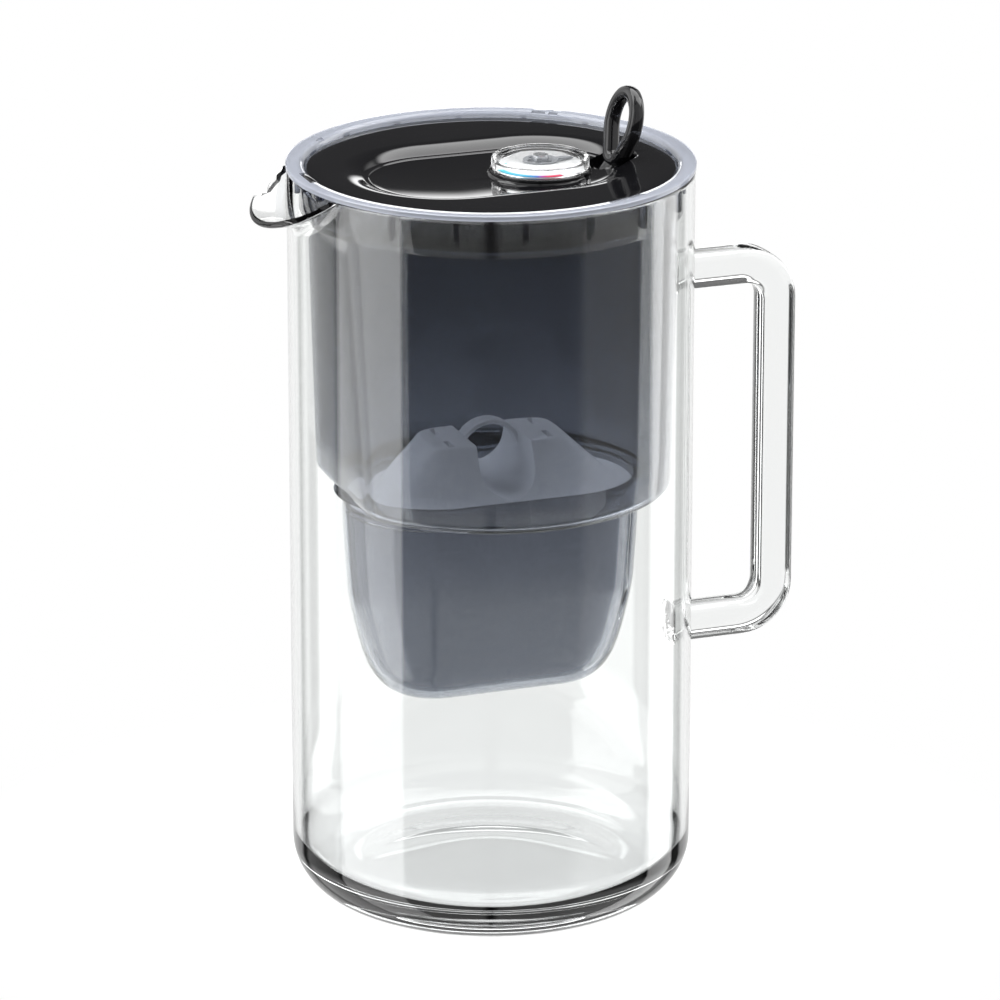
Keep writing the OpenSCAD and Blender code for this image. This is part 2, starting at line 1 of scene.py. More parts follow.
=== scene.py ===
"""Looks of a glass water filter jug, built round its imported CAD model.

The jug's glass, the hopper, the lid, the finger loop, the indicator's cap and the cartridge
are modelled here over the CAD solids that they stand for; the small inner pieces stay as the
CAD nodes and get their materials. Lengths in the size classes are in millimetres.
"""

import json
import logging
import math
from dataclasses import dataclass, field
from enum import Enum
from typing import Callable, Iterable, Sequence

import bmesh
import bpy
from mathutils import Matrix, Vector

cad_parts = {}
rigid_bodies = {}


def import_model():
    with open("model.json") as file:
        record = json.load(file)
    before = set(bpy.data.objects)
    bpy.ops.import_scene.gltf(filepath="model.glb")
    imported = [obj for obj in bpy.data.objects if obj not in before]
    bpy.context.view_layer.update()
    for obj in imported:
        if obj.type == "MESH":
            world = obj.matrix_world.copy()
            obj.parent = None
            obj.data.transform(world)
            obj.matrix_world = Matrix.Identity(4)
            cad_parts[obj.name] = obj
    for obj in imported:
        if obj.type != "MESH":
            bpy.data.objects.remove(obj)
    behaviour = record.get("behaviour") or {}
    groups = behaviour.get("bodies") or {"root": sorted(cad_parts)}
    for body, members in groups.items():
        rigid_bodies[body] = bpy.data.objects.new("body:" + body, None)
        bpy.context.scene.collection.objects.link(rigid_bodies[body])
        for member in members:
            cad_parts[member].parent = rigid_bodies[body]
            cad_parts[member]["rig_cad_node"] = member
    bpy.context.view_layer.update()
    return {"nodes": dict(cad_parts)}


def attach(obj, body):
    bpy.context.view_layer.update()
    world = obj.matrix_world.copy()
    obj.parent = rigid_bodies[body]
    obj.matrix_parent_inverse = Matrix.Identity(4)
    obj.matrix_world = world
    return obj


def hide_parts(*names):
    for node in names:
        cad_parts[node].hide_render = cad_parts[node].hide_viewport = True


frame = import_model()

MM = 0.001
FINE_BUMP = 0.0002
WAVE_BUMP = 0.001
# Height over which the rim's painted glow, a milky mix, sets in.
GLOW_HAZE_EDGE = 0.0008
WHITE = (1.0, 1.0, 1.0, 1.0)
LOG = logging.getLogger("scene")

Point = tuple[float, float, float]


class Body(str, Enum):
    """The CAD bodies that pieces ride on."""

    JUG = "jug"
    HOPPER = "hopper"
    LID = "lid"
    DIAL = "dial"
    CARTRIDGE = "cartridge"


class Slot(str, Enum):
    """The record's material slots."""

    GLASS = "clear_glass"
    SMOKE = "smoke_plastic"
    BLACK = "black_plastic"
    INNER_BLACK = "inner_black_plastic"
    STEEL = "steel"
    CLEAR = "clear_plastic"
    WHITE = "white_plastic"
    PRINT = "scale_print"
    GREY = "grey_plastic"
    CARTRIDGE = "cartridge_plastic"
    SILICONE = "silicone"
    FABRIC = "mesh_fabric"
    GRANULES = "filter_granules"


# Materials


class Graph:
    """A material's or world's node tree, with short calls to add and join nodes."""

    def __init__(self, owner: bpy.types.Material | bpy.types.World) -> None:
        """Empties the owner's node tree.

        Args:
            owner: The material or world to write.
        """
        owner.use_nodes = True
        self.tree = owner.node_tree
        self.tree.nodes.clear()

    def add(self, kind: str, **values: object) -> bpy.types.Node:
        """Adds a node and sets its properties and input sockets.

        Args:
            kind: The node's type name.
            values: Properties by their name, and inputs by their name with spaces as "_".

        Returns:
            The new node.
        """
        node = self.tree.nodes.new(kind)
        for name, value in values.items():
            if hasattr(node, name):
                setattr(node, name, value)
            else:
                node.inputs[name.replace("_", " ")].default_value = value
        return node

    def join(self, source: bpy.types.NodeSocket, target: bpy.types.NodeSocket) -> None:
        """Links two sockets.

        Args:
            source: An output socket.
            target: An input socket.
        """
        self.tree.links.new(source, target)

    def math(self, kind: str, first: object, second: object = None) -> bpy.types.NodeSocket:
        """Adds one Math node.

        Args:
            kind: The operation.
            first: A socket or a number.
            second: A socket or a number, where the operation has two inputs.

        Returns:
            The node's output socket.
        """
        node = self.tree.nodes.new("ShaderNodeMath")
        node.operation = kind
        for socket, value in zip(node.inputs, (first, second)):
            if isinstance(value, bpy.types.NodeSocket):
                self.join(value, socket)
            elif value is not None:
                socket.default_value = value
        return node.outputs[0]

    def ramp(
        self, value: bpy.types.NodeSocket, stops: Sequence[tuple[float, tuple]]
    ) -> bpy.types.NodeSocket:
        """Adds a colour ramp.

        Args:
            value: The socket that drives it.
            stops: Positions from 0 to 1, each with a colour of three numbers.

        Returns:
            The ramp's colour socket.
        """
        node = self.tree.nodes.new("ShaderNodeValToRGB")
        ramp = node.color_ramp
        while len(ramp.elements) < len(stops):
            ramp.elements.new(1.0)
        for element, (place, colour) in zip(ramp.elements, stops):
            element.position = place
            element.color = (*colour, 1.0)
        self.join(value, node.inputs["Fac"])
        return node.outputs["Color"]

    def scaled(
        self, value: bpy.types.NodeSocket, low: float, high: float, **more: object
    ) -> bpy.types.NodeSocket:
        """Adds a Map Range node, which gives 0 at one value and 1 at another.

        Args:
            value: The socket to scale.
            low: The value that gives 0.
            high: The value that gives 1.
            more: Further properties and inputs of the node.

        Returns:
            The scaled socket.
        """
        node = self.add("ShaderNodeMapRange", From_Min=low, From_Max=high, **more)
        self.join(value, node.inputs["Value"])
        return node.outputs["Result"]

    def mix(
        self, share: bpy.types.NodeSocket, first: bpy.types.Node, second: bpy.types.Node
    ) -> bpy.types.Node:
        """Mixes two shaders.

        Args:
            share: 0 gives the first shader, 1 the second.
            first: The first shader.
            second: The second shader.

        Returns:
            The mixed shader.
        """
        node = self.add("ShaderNodeMixShader")
        for source, target in zip((share, first.outputs[0], second.outputs[0]), node.inputs):
            self.join(source, target)
        return node

    def show(self, shader: bpy.types.Node, kind: str = "ShaderNodeOutputMaterial") -> None:
        """Joins a shader to a new output node.

        Args:
            shader: The finished shader.
            kind: The output node's type name.
        """
        self.join(shader.outputs[0], self.add(kind).inputs["Surface"])

    def bump(
        self, noise: bpy.types.Node, strength: float, distance: float, shader: bpy.types.Node
    ) -> None:
        """Bends a shader's normals by noise.

        Args:
            noise: The noise texture.
            strength: The bump's strength.
            distance: The bump's height in metres.
            shader: The shader that gets it.
        """
        node = self.add("ShaderNodeBump", Strength=strength, Distance=distance)
        self.join(noise.outputs["Fac"], node.inputs["Height"])
        self.join(node.outputs["Normal"], shader.inputs["Normal"])

    def window(
        self, value: bpy.types.NodeSocket, low: float, high: float, soft: float
    ) -> bpy.types.NodeSocket:
        """Adds a smooth window: 1 between two limits and 0 outside them.

        Args:
            value: The socket to test.
            low: The lower limit.
            high: The upper limit.
            soft: Width of the soft edge at either limit.

        Returns:
            The window's socket.
        """
        up = self.scaled(value, low, low + soft, interpolation_type="SMOOTHSTEP")
        down = self.scaled(value, high, high - soft, interpolation_type="SMOOTHSTEP")
        return self.math("MULTIPLY", up, down)


@dataclass(frozen=True)
class Finish:
    """A moulded or polished surface: base colour varied by fine noise, with a slight bump."""

    name: str
    colour: tuple[float, float, float]
    shade: float = 0.06
    roughness: float = 0.2
    grain: float = 400.0
    bump: float = 0.02
    metallic: float = 0.0
    coat: float = 0.0

    def build(self) -> bpy.types.Material:
        """Makes the material.

        Returns:
            The finished material.
        """
        material = bpy.data.materials.new(self.name)
        graph = Graph(material)
        shader = graph.add("ShaderNodeBsdfPrincipled", Metallic=self.metallic, Coat_Weight=self.coat)
        place = graph.add("ShaderNodeTexCoord")
        noise = graph.add("ShaderNodeTexNoise", Scale=self.grain, Detail=4.0)
        graph.join(place.outputs["Object"], noise.inputs["Vector"])
        dark = tuple(c * (1.0 - self.shade) for c in self.colour)
        light = tuple(min(1.0, c * (1.0 + self.shade)) for c in self.colour)
        colour = graph.ramp(noise.outputs["Fac"], ((0.3, dark), (0.7, light)))
        graph.join(colour, shader.inputs["Base Color"])
        rough = graph.math("MULTIPLY_ADD", noise.outputs["Fac"], self.roughness * 0.3)
        rough.node.inputs[2].default_value = self.roughness * 0.85
        graph.join(rough, shader.inputs["Roughness"])
        graph.bump(noise, self.bump, FINE_BUMP, shader)
        graph.show(shader)
        return material


@dataclass(frozen=True)
class ClearFinish:
    """A clear or smoked solid that light passes through, coloured by height above the table; on the
    smoked hopper this height colour and its milky rim band are painted light and shade.
    """

    name: str
    stops: tuple[tuple[float, tuple[float, float, float]], ...]
    low: float = 0.0
    high: float = 0.3
    ior: float = 1.5
    roughness: float = 0.0
    waves: float = 18.0
    bump: float = 0.0
    shadow: tuple[float, float, float] = (0.96, 0.96, 0.96)
    glow_haze_from: float = 1.0
    glow_haze: float = 0.0

    def build(self) -> bpy.types.Material:
        """Makes the material.

        Returns:
            The finished material.
        """
        material = bpy.data.materials.new(self.name)
        graph = Graph(material)
        shader = graph.add("ShaderNodeBsdfPrincipled", IOR=self.ior, Roughness=self.roughness)
        place = graph.add("ShaderNodeTexCoord")
        parts = graph.add("ShaderNodeSeparateXYZ")
        graph.join(place.outputs["Object"], parts.inputs[0])
        height = graph.scaled(parts.outputs["Z"], self.low, self.high)
        graph.join(graph.ramp(height, self.stops), shader.inputs["Base Color"])
        # From the set height up the solid turns partly milky; on the hopper this paints a glow in the
        # rim ring.
        clearness = graph.scaled(
            parts.outputs["Z"], self.glow_haze_from, self.glow_haze_from + GLOW_HAZE_EDGE,
            To_Min=1.0, To_Max=1.0 - self.glow_haze,
        )
        graph.join(clearness, shader.inputs["Transmission Weight"])
        noise = graph.add("ShaderNodeTexNoise", Scale=self.waves, Detail=1.0)
        graph.join(place.outputs["Object"], noise.inputs["Vector"])
        graph.bump(noise, self.bump, WAVE_BUMP, shader)
        path = graph.add("ShaderNodeLightPath")
        plain = graph.math("MAXIMUM", path.outputs["Is Shadow Ray"], path.outputs["Is Diffuse Ray"])
        through = graph.add("ShaderNodeBsdfTransparent", Color=(*self.shadow, 1.0))
        graph.show(graph.mix(plain, shader, through))
        return material


@dataclass(frozen=True)
class ScalePrint:
    """The indicator's printed arc, whose colour runs from cyan to red along its length."""

    name: str
    centre_x: float
    first: float
    last: float

    def build(self) -> bpy.types.Material:
        """Makes the material.

        Returns:
            The finished material.
        """
        material = bpy.data.materials.new(self.name)
        graph = Graph(material)
        shader = graph.add("ShaderNodeBsdfPrincipled", Roughness=0.35)
        place = graph.add("ShaderNodeTexCoord")
        parts = graph.add("ShaderNodeSeparateXYZ")
        graph.join(place.outputs["Object"], parts.inputs[0])
        across = graph.math("SUBTRACT", parts.outputs["X"], self.centre_x)
        angle = graph.math("ARCTAN2", parts.outputs["Y"], across)
        share = graph.scaled(angle, math.radians(self.first), math.radians(self.last))
        stops = (
            (0.0, (0.03, 0.6, 0.72)),
            (0.5, (0.01, 0.42, 0.72)),
            (0.64, (0.03, 0.16, 0.6)),
            (0.72, (0.45, 0.03, 0.35)),
            (0.8, (0.8, 0.02, 0.1)),
        )
        graph.join(graph.ramp(share, stops), shader.inputs["Base Color"])
        graph.show(shader)
        return material


@dataclass
class Palette:
    """All materials of the object by the record's slot, and the cartridge's wall darkened with painted
    shade.
    """

    made: dict[Slot, bpy.types.Material] = field(default_factory=dict)
    filled: bpy.types.Material | None = None

    def build(self) -> "Palette":
        """Makes every material once.

        Returns:
            The palette itself.
        """
        clear = (0.985, 0.995, 0.99)
        edge = (0.97, 0.985, 0.985)
        finishes = {
            Slot.GLASS: ClearFinish(
                "glass", ((0.0, edge), (0.2, clear), (1.0, clear)), waves=14.0, bump=0.01
            ),
            # Painted light and shade: the smoked hopper's colour runs by height, lightest low down where
            # the cartridge shows lit through it, darkening upwards to a dark band under the neck, then
            # bright at the rim.
            Slot.SMOKE: ClearFinish(
                "smoked_styrene_painted_light",
                (
                    (0.0, (0.36, 0.385, 0.43)), (0.3, (0.33, 0.355, 0.405)),
                    (0.45, (0.25, 0.27, 0.315)), (0.62, (0.205, 0.222, 0.262)),
                    (0.76, (0.135, 0.147, 0.176)), (0.93, (0.135, 0.147, 0.176)),
                    (0.985, (0.3, 0.32, 0.38)), (1.0, (0.5, 0.525, 0.59)),
                ),
                low=0.07, high=0.2625, ior=1.46, bump=0.012, shadow=(0.97, 0.97, 0.98),
                # Painted glow: from just under the rim up, the hopper turns half milky with the ramp's
                # brightest colour, standing in for light passing through the rim ring.
                glow_haze_from=0.2612, glow_haze=0.5,
            ),
            Slot.CLEAR: ClearFinish("clear_styrene", ((0.0, clear), (1.0, (1.0, 1.0, 1.0))), ior=1.49),
            Slot.BLACK: Finish(
                "gloss_black", (0.006, 0.006, 0.007), roughness=0.06, bump=0.004, grain=60.0
            ),
            Slot.INNER_BLACK: Finish("satin_black", (0.02, 0.02, 0.022), roughness=0.35, bump=0.05),
            Slot.STEEL: Finish("steel", (0.55, 0.56, 0.58), roughness=0.28, metallic=1.0, bump=0.03),
            Slot.WHITE: Finish("white_plastic", (0.82, 0.83, 0.84), shade=0.02, roughness=0.3),
            Slot.GREY: Finish("grey_plastic", (0.42, 0.44, 0.47), roughness=0.25),
            Slot.CARTRIDGE: Finish("cartridge_grey", (0.93, 0.94, 0.97), roughness=0.3, bump=0.03),
            Slot.SILICONE: Finish("silicone", (0.6, 0.61, 0.62), roughness=0.5, bump=0.05),
            Slot.FABRIC: Finish(
                "woven_screen", (0.75, 0.75, 0.72), shade=0.3, roughness=0.8, grain=2600.0, bump=0.4
            ),
            Slot.GRANULES: Finish(
                "granules", (0.08, 0.07, 0.065), shade=0.7, roughness=0.7, grain=900.0, bump=0.8
            ),
            Slot.PRINT: ScalePrint("scale_colours", 0.018, -178.0, -80.0),
        }
        self.made = {slot: finish.build() for slot, finish in finishes.items()}
        # Painted shade: the cartridge's shell gets a darker grey than its cap, standing in for the shade
        # on it inside the hopper's cup.
        filled = Finish("cartridge_wall_painted_shade", (0.4, 0.415, 0.45), roughness=0.3, bump=0.03)
        self.filled = filled.build()
        return self

    def dress(self, piece: bpy.types.Object, slot: Slot) -> None:
        """Gives a piece one material.

        Args:
            piece: The mesh object.
            slot: The record's material slot.
        """
        piece.data.materials.clear()
        piece.data.materials.append(self.made[slot])


# Modelling helpers


def deselect() -> None:
    """Leaves edit mode and deselects every object."""
    if bpy.context.object is not None and bpy.context.object.mode != "OBJECT":
        bpy.ops.object.mode_set(mode="OBJECT")
    bpy.ops.object.select_all(action="DESELECT")


def activate(piece: bpy.types.Object) -> None:
    """Selects one object alone and makes it active.

    Args:
        piece: The object.
    """
    deselect()
    piece.select_set(True)
    bpy.context.view_layer.objects.active = piece


def apply_modifier(piece: bpy.types.Object, kind: str, **values: object) -> None:
    """Adds a modifier and applies it at once.

    Args:
        piece: The mesh object.
        kind: The modifier's type name.
        values: The modifier's settings.
    """
    activate(piece)
    modifier = piece.modifiers.new(kind.lower(), kind)
    for name, value in values.items():
        setattr(modifier, name, value)
    bpy.ops.object.modifier_apply(modifier=modifier.name)


def soften(piece: bpy.types.Object, width: float, segments: int = 2, angle: float = 35.0) -> None:
    """Rounds a piece's sharp edges and shades it smooth.

    Args:
        piece: The mesh object.
        width: The rounding's width in millimetres, 0 for none.
        segments: Faces across the rounding.
        angle: Edges sharper than this, in degrees, are rounded.
    """
    if width > 0.0:
        apply_modifier(
            piece, "BEVEL", width=width * MM, segments=segments, limit_method="ANGLE",
            angle_limit=math.radians(angle), harden_normals=False,
        )
    activate(piece)
    bpy.ops.object.shade_smooth_by_angle(angle=math.radians(angle))


def combine(piece: bpy.types.Object, tool: bpy.types.Object, operation: str) -> None:
    """Joins a tool to a piece or cuts it out, and removes the tool.

    Args:
        piece: The mesh object that stays.
        tool: The mesh object that is used up.
        operation: "UNION" or "DIFFERENCE".
    """
    apply_modifier(piece, "BOOLEAN", object=tool, operation=operation, solver="EXACT")
    bpy.data.objects.remove(tool)


def block(name: str, low: Point, high: Point) -> bpy.types.Object:
    """Adds a box between two corners.

    Args:
        name: The object's name.
        low: Lowest corner in millimetres.
        high: Highest corner in millimetres.

    Returns:
        The box, with its place in its mesh.
    """
    deselect()
    bpy.ops.mesh.primitive_cube_add(size=1.0)
    piece = bpy.context.object
    piece.name = name
    size = [(b - a) * MM for a, b in zip(low, high)]
    middle = [(a + b) / 2 * MM for a, b in zip(low, high)]
    piece.data.transform(Matrix.Translation(middle) @ Matrix.Diagonal((*size, 1.0)))
    return piece


def rod(
    name: str, radius: float, length: float, centre: Point, axis: str = "Z", sides: int = 48
) -> bpy.types.Object:
    """Adds a cylinder.

    Args:
        name: The object's name.
        radius: Radius in millimetres.
        length: Length in millimetres.
        centre: Its middle in millimetres.
        axis: The axis that it lies along, "Z" or "Y".
        sides: Faces round it.

    Returns:
        The cylinder, with its place in its mesh.
    """
    deselect()
    bpy.ops.mesh.primitive_cylinder_add(vertices=sides, radius=radius * MM, depth=length * MM)
    piece = bpy.context.object
    piece.name = name
    turn = Matrix.Rotation(math.pi / 2, 4, "X") if axis == "Y" else Matrix()
    piece.data.transform(Matrix.Translation([c * MM for c in centre]) @ turn)
    return piece


def gather(name: str, pieces: Sequence[bpy.types.Object]) -> bpy.types.Object:
    """Joins objects into one.

    Args:
        name: The name of the result.
        pieces: The objects, of which the first stays.

    Returns:
        The joined object.
    """
    activate(pieces[0])
    for piece in pieces[1:]:
        piece.select_set(True)
    bpy.ops.object.join()
    bpy.context.object.name = name
    return bpy.context.object


def round_copies(piece: bpy.types.Object, angles: Iterable[float]) -> list[bpy.types.Object]:
    """Copies a piece round the Z axis, each copy with its own mesh.

    Args:
        piece: The piece, modelled at angle 0. It is removed.
        angles: The copies' angles in degrees.

    Returns:
        The copies.
    """
    copies = []
    for angle in angles:
        copy = piece.copy()
        copy.data = piece.data.copy()
        copy.data.transform(Matrix.Rotation(math.radians(angle), 4, "Z"))
        bpy.context.scene.collection.objects.link(copy)
        copies.append(copy)
    bpy.data.objects.remove(piece)
    return copies


class Loft:
    """A mesh that is pulled from one closed ring of points to the next by extruding its edge."""

    def __init__(self, name: str, ring: Sequence[Vector]) -> None:
        """Starts with a circle primitive that is shaped to the first ring.

        Args:
            name: The object's name.
            ring: The first ring's points in metres.
        """
        deselect()
        bpy.ops.mesh.primitive_circle_add(vertices=len(ring), radius=1.0, fill_type="NOTHING")
        self.piece = bpy.context.object
        self.piece.name = name
        for vertex, point in zip(self.piece.data.vertices, ring):
            vertex.co = point
        self.first = list(ring)
        self.keys = [self._key(v.co) for v in self.piece.data.vertices]
        bpy.ops.object.mode_set(mode="EDIT")
        bpy.ops.mesh.select_mode(type="VERT")
        bpy.ops.mesh.select_all(action="SELECT")

    @staticmethod
    def _key(point: Vector) -> tuple[float, ...]:
        """Gives a point's name by place.

        Args:
            point: The point.

        Returns:
            Its rounded coordinates.
        """
        return tuple(round(c, 7) for c in point)

    def to(self, ring: Sequence[Vector]) -> "Loft":
        """Extrudes the open edge and puts it on the next ring.

        Args:
            ring: The next ring's points in metres, as many as before.

        Returns:
            The loft itself.
        """
        bpy.ops.mesh.extrude_region()
        mesh = bmesh.from_edit_mesh(self.piece.data)
        place = {key: i for i, key in enumerate(self.keys)}
        keys = list(self.keys)
        for vertex in mesh.verts:
            if vertex.select:
                index = place[self._key(vertex.co)]
                vertex.co = ring[index]
                keys[index] = self._key(vertex.co)
        self.keys = keys
        bmesh.update_edit_mesh(self.piece.data)
        return self

    def close(self) -> bpy.types.Object:
        """Joins the last ring to the first and leaves edit mode.

        Returns:
            The closed mesh object.
        """
        self.to(self.first)
        return self._end()

    def cap(self) -> bpy.types.Object:
        """Fills the first and the last ring and leaves edit mode.

        Returns:
            The closed mesh object.
        """
        bpy.ops.mesh.edge_face_add()
        bpy.ops.mesh.select_all(action="DESELECT")
        mesh = bmesh.from_edit_mesh(self.piece.data)
        start = {self._key(p) for p in self.first}
        for vertex in mesh.verts:
            if vertex.is_boundary and self._key(vertex.co) in start:
                vertex.select = True
        mesh.select_flush(True)
        bmesh.update_edit_mesh(self.piece.data)
        bpy.ops.mesh.edge_face_add()
        return self._end()

    def _end(self) -> bpy.types.Object:
        """Welds doubles and turns the normals outward.

        Returns:
            The mesh object.
        """
        bpy.ops.mesh.select_all(action="SELECT")
        bpy.ops.mesh.remove_doubles(threshold=1e-6)
        bpy.ops.mesh.normals_make_consistent(inside=False)
        bpy.ops.object.mode_set(mode="OBJECT")
        return self.piece


FLAT_FACES = -0.2


@dataclass(frozen=True)
class Section:
    """A level ring of a loft: a circle, an oval of two round ends, or a circle with a flat side.

    The flat side faces -X, and is looked for where the direction's cosine is under FLAT_FACES.
    """

    z: float
    radius: float
    shift: float = 0.0
    flat: float = 0.0
    centre: float = 0.0
    corner: float = 0.9

    def reach(self, angle: float) -> float:
        """Distance from the ring's centre to the ring.

        Args:
            angle: Direction from +X in radians.

        Returns:
            The distance in millimetres.
        """
        c, s = math.cos(angle), math.sin(angle)
        far = self.radius
        if self.shift > 0.0:
            side = self.radius / abs(s) if abs(s) > 1e-9 else math.inf
            if side * abs(c) <= self.shift:
                far = side
            else:
                far = self.shift * abs(c) + math.sqrt(max(0.0, self.radius**2 - (self.shift * s) ** 2))
        if self.flat > 0.0 and c < FLAT_FACES:
            ways = (far, self.flat / -c)
            far = -self.corner * math.log(sum(math.exp(-way / self.corner) for way in ways))
        return far

    def ring(self, count: int) -> list[Vector]:
        """Gives the ring's points.

        Args:
            count: How many points.

        Returns:
            The points in metres.
        """
        points = []
        for i in range(count):
            angle = math.tau * (i + 0.5) / count
            far = self.reach(angle)
            points.append(
                Vector((self.centre + far * math.cos(angle), far * math.sin(angle), self.z)) * MM
            )
        return points


def stack(
    rows: Iterable[tuple[float, float]], shift: float = 0.0, centre: float = 0.0
) -> list[Section]:
    """Gives level rings in order.

    Args:
        rows: Each ring's height and radius.
        shift: How far the round ends of an oval lie from its middle, 0 for circles.
        centre: The rings' middle on X.

    Returns:
        The rings.
    """
    return [Section(z, radius, shift, centre=centre) for z, radius in rows]


def turns(count: int) -> list[float]:
    """Gives even angles round a circle.

    Args:
        count: How many.

    Returns:
        The angles in radians.
    """
    return [math.tau * i / count for i in range(count)]


def loft_sections(name: str, sections: Sequence[Section], count: int, closed: bool) -> bpy.types.Object:
    """Lofts level sections into one mesh.

    Args:
        name: The object's name.
        sections: The rings in order.
        count: Points in each ring.
        closed: True joins the last ring to the first, False fills both ends.

    Returns:
        The mesh object.
    """
    loft = Loft(name, sections[0].ring(count))
    for section in sections[1:]:
        loft.to(section.ring(count))
    return loft.close() if closed else loft.cap()


def arc(
    cx: float, cz: float, radius: float, start: float, end: float, steps: int
) -> list[tuple[float, float]]:
    """Gives points on an arc in a profile's plane.

    Args:
        cx: The centre's distance from the axis.
        cz: The centre's height.
        radius: The arc's radius.
        start: First angle in degrees.
        end: Last angle in degrees.
        steps: How many steps.

    Returns:
        Pairs of distance and height.
    """
    turns = [math.radians(start + (end - start) * i / steps) for i in range(steps + 1)]
    return [(cx + radius * math.cos(a), cz + radius * math.sin(a)) for a in turns]


def place(piece: bpy.types.Object, body: Body, *nodes: str) -> bpy.types.Object:
    """Makes a piece ride on a body and hides the CAD nodes that it stands for.

    Args:
        piece: The finished piece.
        body: The body it moves with.
        nodes: The CAD nodes that it stands for.

    Returns:
        The piece.
    """
    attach(piece, body.value)
    if nodes:
        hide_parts(*nodes)
    LOG.info("%s on %s, %d faces", piece.name, body.value, len(piece.data.polygons))
    return piece


def settle(
    palette: Palette, piece: bpy.types.Object, slot: Slot, body: Body, *nodes: str
) -> None:
    """Dresses a finished piece and places it.

    Args:
        palette: The materials.
        piece: The finished piece.
        slot: The record's material slot.
        body: The body it moves with.
        nodes: The CAD nodes that it stands for.
    """
    palette.dress(piece, slot)
    place(piece, body, *nodes)


# The jug


@dataclass
class GlassJug:
    """The blown glass body with its pulled spout and welded bar handle, as one piece of glass."""

    radius: float = 70.0
    wall: float = 2.2
    height: float = 262.0
    floor: float = 9.0
    foot_corner: float = 18.7
    floor_corner: float = 14.0
    spout_half_angle: float = 22.0
    spout_low: float = 243.5
    lip_radius: float = 27.0
    lip_centre: Point = (-62.4, 0.0, 263.4)
    lip_slope: float = 31.0
    lip_turn: float = 84.0
    edge_power: float = 0.7
    root_pull: float = 0.35
    tip_pull: float = 0.5
    tip_rise: float = 0.22
    bar: float = 12.5
    bar_edge: float = 2.8
    bend: float = 12.5
    bar_x: float = 105.55
    arm_top: float = 217.6
    arm_low: float = 88.2
    bend_steps: int = 12
    count: int = 288

    def spout_skin(self, turn: float, z: float) -> Vector:
        """Gives the outer skin's point near the spout.

        Args:
            turn: Angle from the spout's middle in radians.
            z: Height of the same point on the straight body.

        Returns:
            The point in millimetres.
        """
        body = Vector((-self.radius * math.cos(turn), self.radius * math.sin(turn), z))
        share = turn / math.radians(self.spout_half_angle)
        if abs(share) >= 1.0:
            return body
        low = self.height - (self.height - self.spout_low) * (1.0 - share**2) ** self.edge_power
        if z <= low:
            return body
        t = (z - low) / (self.height - low)
        slope, lip_angle = math.radians(self.lip_slope), math.radians(self.lip_turn) * share
        out = Vector((-math.cos(slope), 0.0, -math.sin(slope)))
        side = Vector((0.0, 1.0, 0.0))
        across = math.cos(lip_angle) * out + math.sin(lip_angle) * side
        lip = Vector(self.lip_centre) + self.lip_radius * across
        start = Vector((body.x, body.y, low))
        span = (lip - start).length
        tip = Vector((-math.cos(lip_angle), math.sin(lip_angle), self.tip_rise)).normalized()
        a = start + Vector((0.0, 0.0, self.root_pull * span))
        b = lip - self.tip_pull * span * tip
        return (1 - t) ** 3 * start + 3 * t * (1 - t) ** 2 * a + 3 * t**2 * (1 - t) * b + t**3 * lip

    def wall_point(self, turn: float, z: float, depth: float) -> Vector:
        """Gives a point in or on the wall.

        Args:
            turn: Angle from the spout's middle in radians.
            z: Height on the straight body.
            depth: Depth under the outer skin.

        Returns:
            The point in metres.
        """
        step = 1e-3
        here = self.spout_skin(turn, z)
        along = self.spout_skin(turn + step, z) - self.spout_skin(turn - step, z)
        up = self.spout_skin(turn, z + step) - self.spout_skin(turn, z - step)
        normal = up.cross(along)
        radial = Vector((-math.cos(turn), math.sin(turn), 0.0))
        normal = normal.normalized() if normal.length > 1e-9 and normal.dot(radial) > 0 else radial
        return (here - normal * depth) * MM

    def ring(self, radius: float, z: float, spouted: bool) -> list[Vector]:
        """Gives a ring of the glass body.

        Args:
            radius: The ring's radius on the straight body.
            z: Its height on the straight body.
            spouted: True where the spout bends the wall.

        Returns:
            The ring's points in metres.
        """
        points = []
        for i in range(self.count):
            angle = math.tau * (i + 0.5) / self.count
            if spouted and abs(angle - math.pi) < math.radians(self.spout_half_angle + 1.5):
                points.append(self.wall_point(math.pi - angle, z, self.radius - radius))
            else:
                points.append(Vector((radius * math.cos(angle), radius * math.sin(angle), z)) * MM)
        return points

    def body(self) -> bpy.types.Object:
        """Builds the body with its spout.

        Returns:
            The mesh object.
        """
        inner, half = self.radius - self.wall, self.wall / 2
        plain = [(0.4, 0.7), (20.0, 0.7), (41.0, 0.6), (45.0, 0.05)]
        plain += arc(self.radius - self.foot_corner, self.foot_corner, self.foot_corner, -90, 0, 14)
        levels = (40, 60, 78, 84, 92, 98, 120, 150, 180, 206, 212, 223, 229, 240)
        plain += [(self.radius, z) for z in levels]
        rise = [self.spout_low - 1.5 + i for i in range(19)]
        lip = arc(self.radius - half, self.height - half, half, 0, 180, 8)
        loft = Loft("glass_jug", self.ring(*plain[0], False))
        for radius, z in plain[1:]:
            loft.to(self.ring(radius, z, False))
        for radius, z in [(self.radius, z) for z in rise] + lip + [(inner, z) for z in reversed(rise)]:
            loft.to(self.ring(radius, z, True))
        inside = [(inner, z) for z in (240, 210, 180, 150, 120, 90, 60, 40)]
        bend, floor = self.floor_corner, self.floor
        corner = arc(inner - bend, floor + bend, bend, 0, -90, 12)
        bottom = [(40.0, floor - 0.1), (20.0, floor - 0.2), (0.4, floor - 0.2)]
        for radius, z in inside + corner + bottom:
            loft.to(self.ring(radius, z, False))
        return loft.cap()

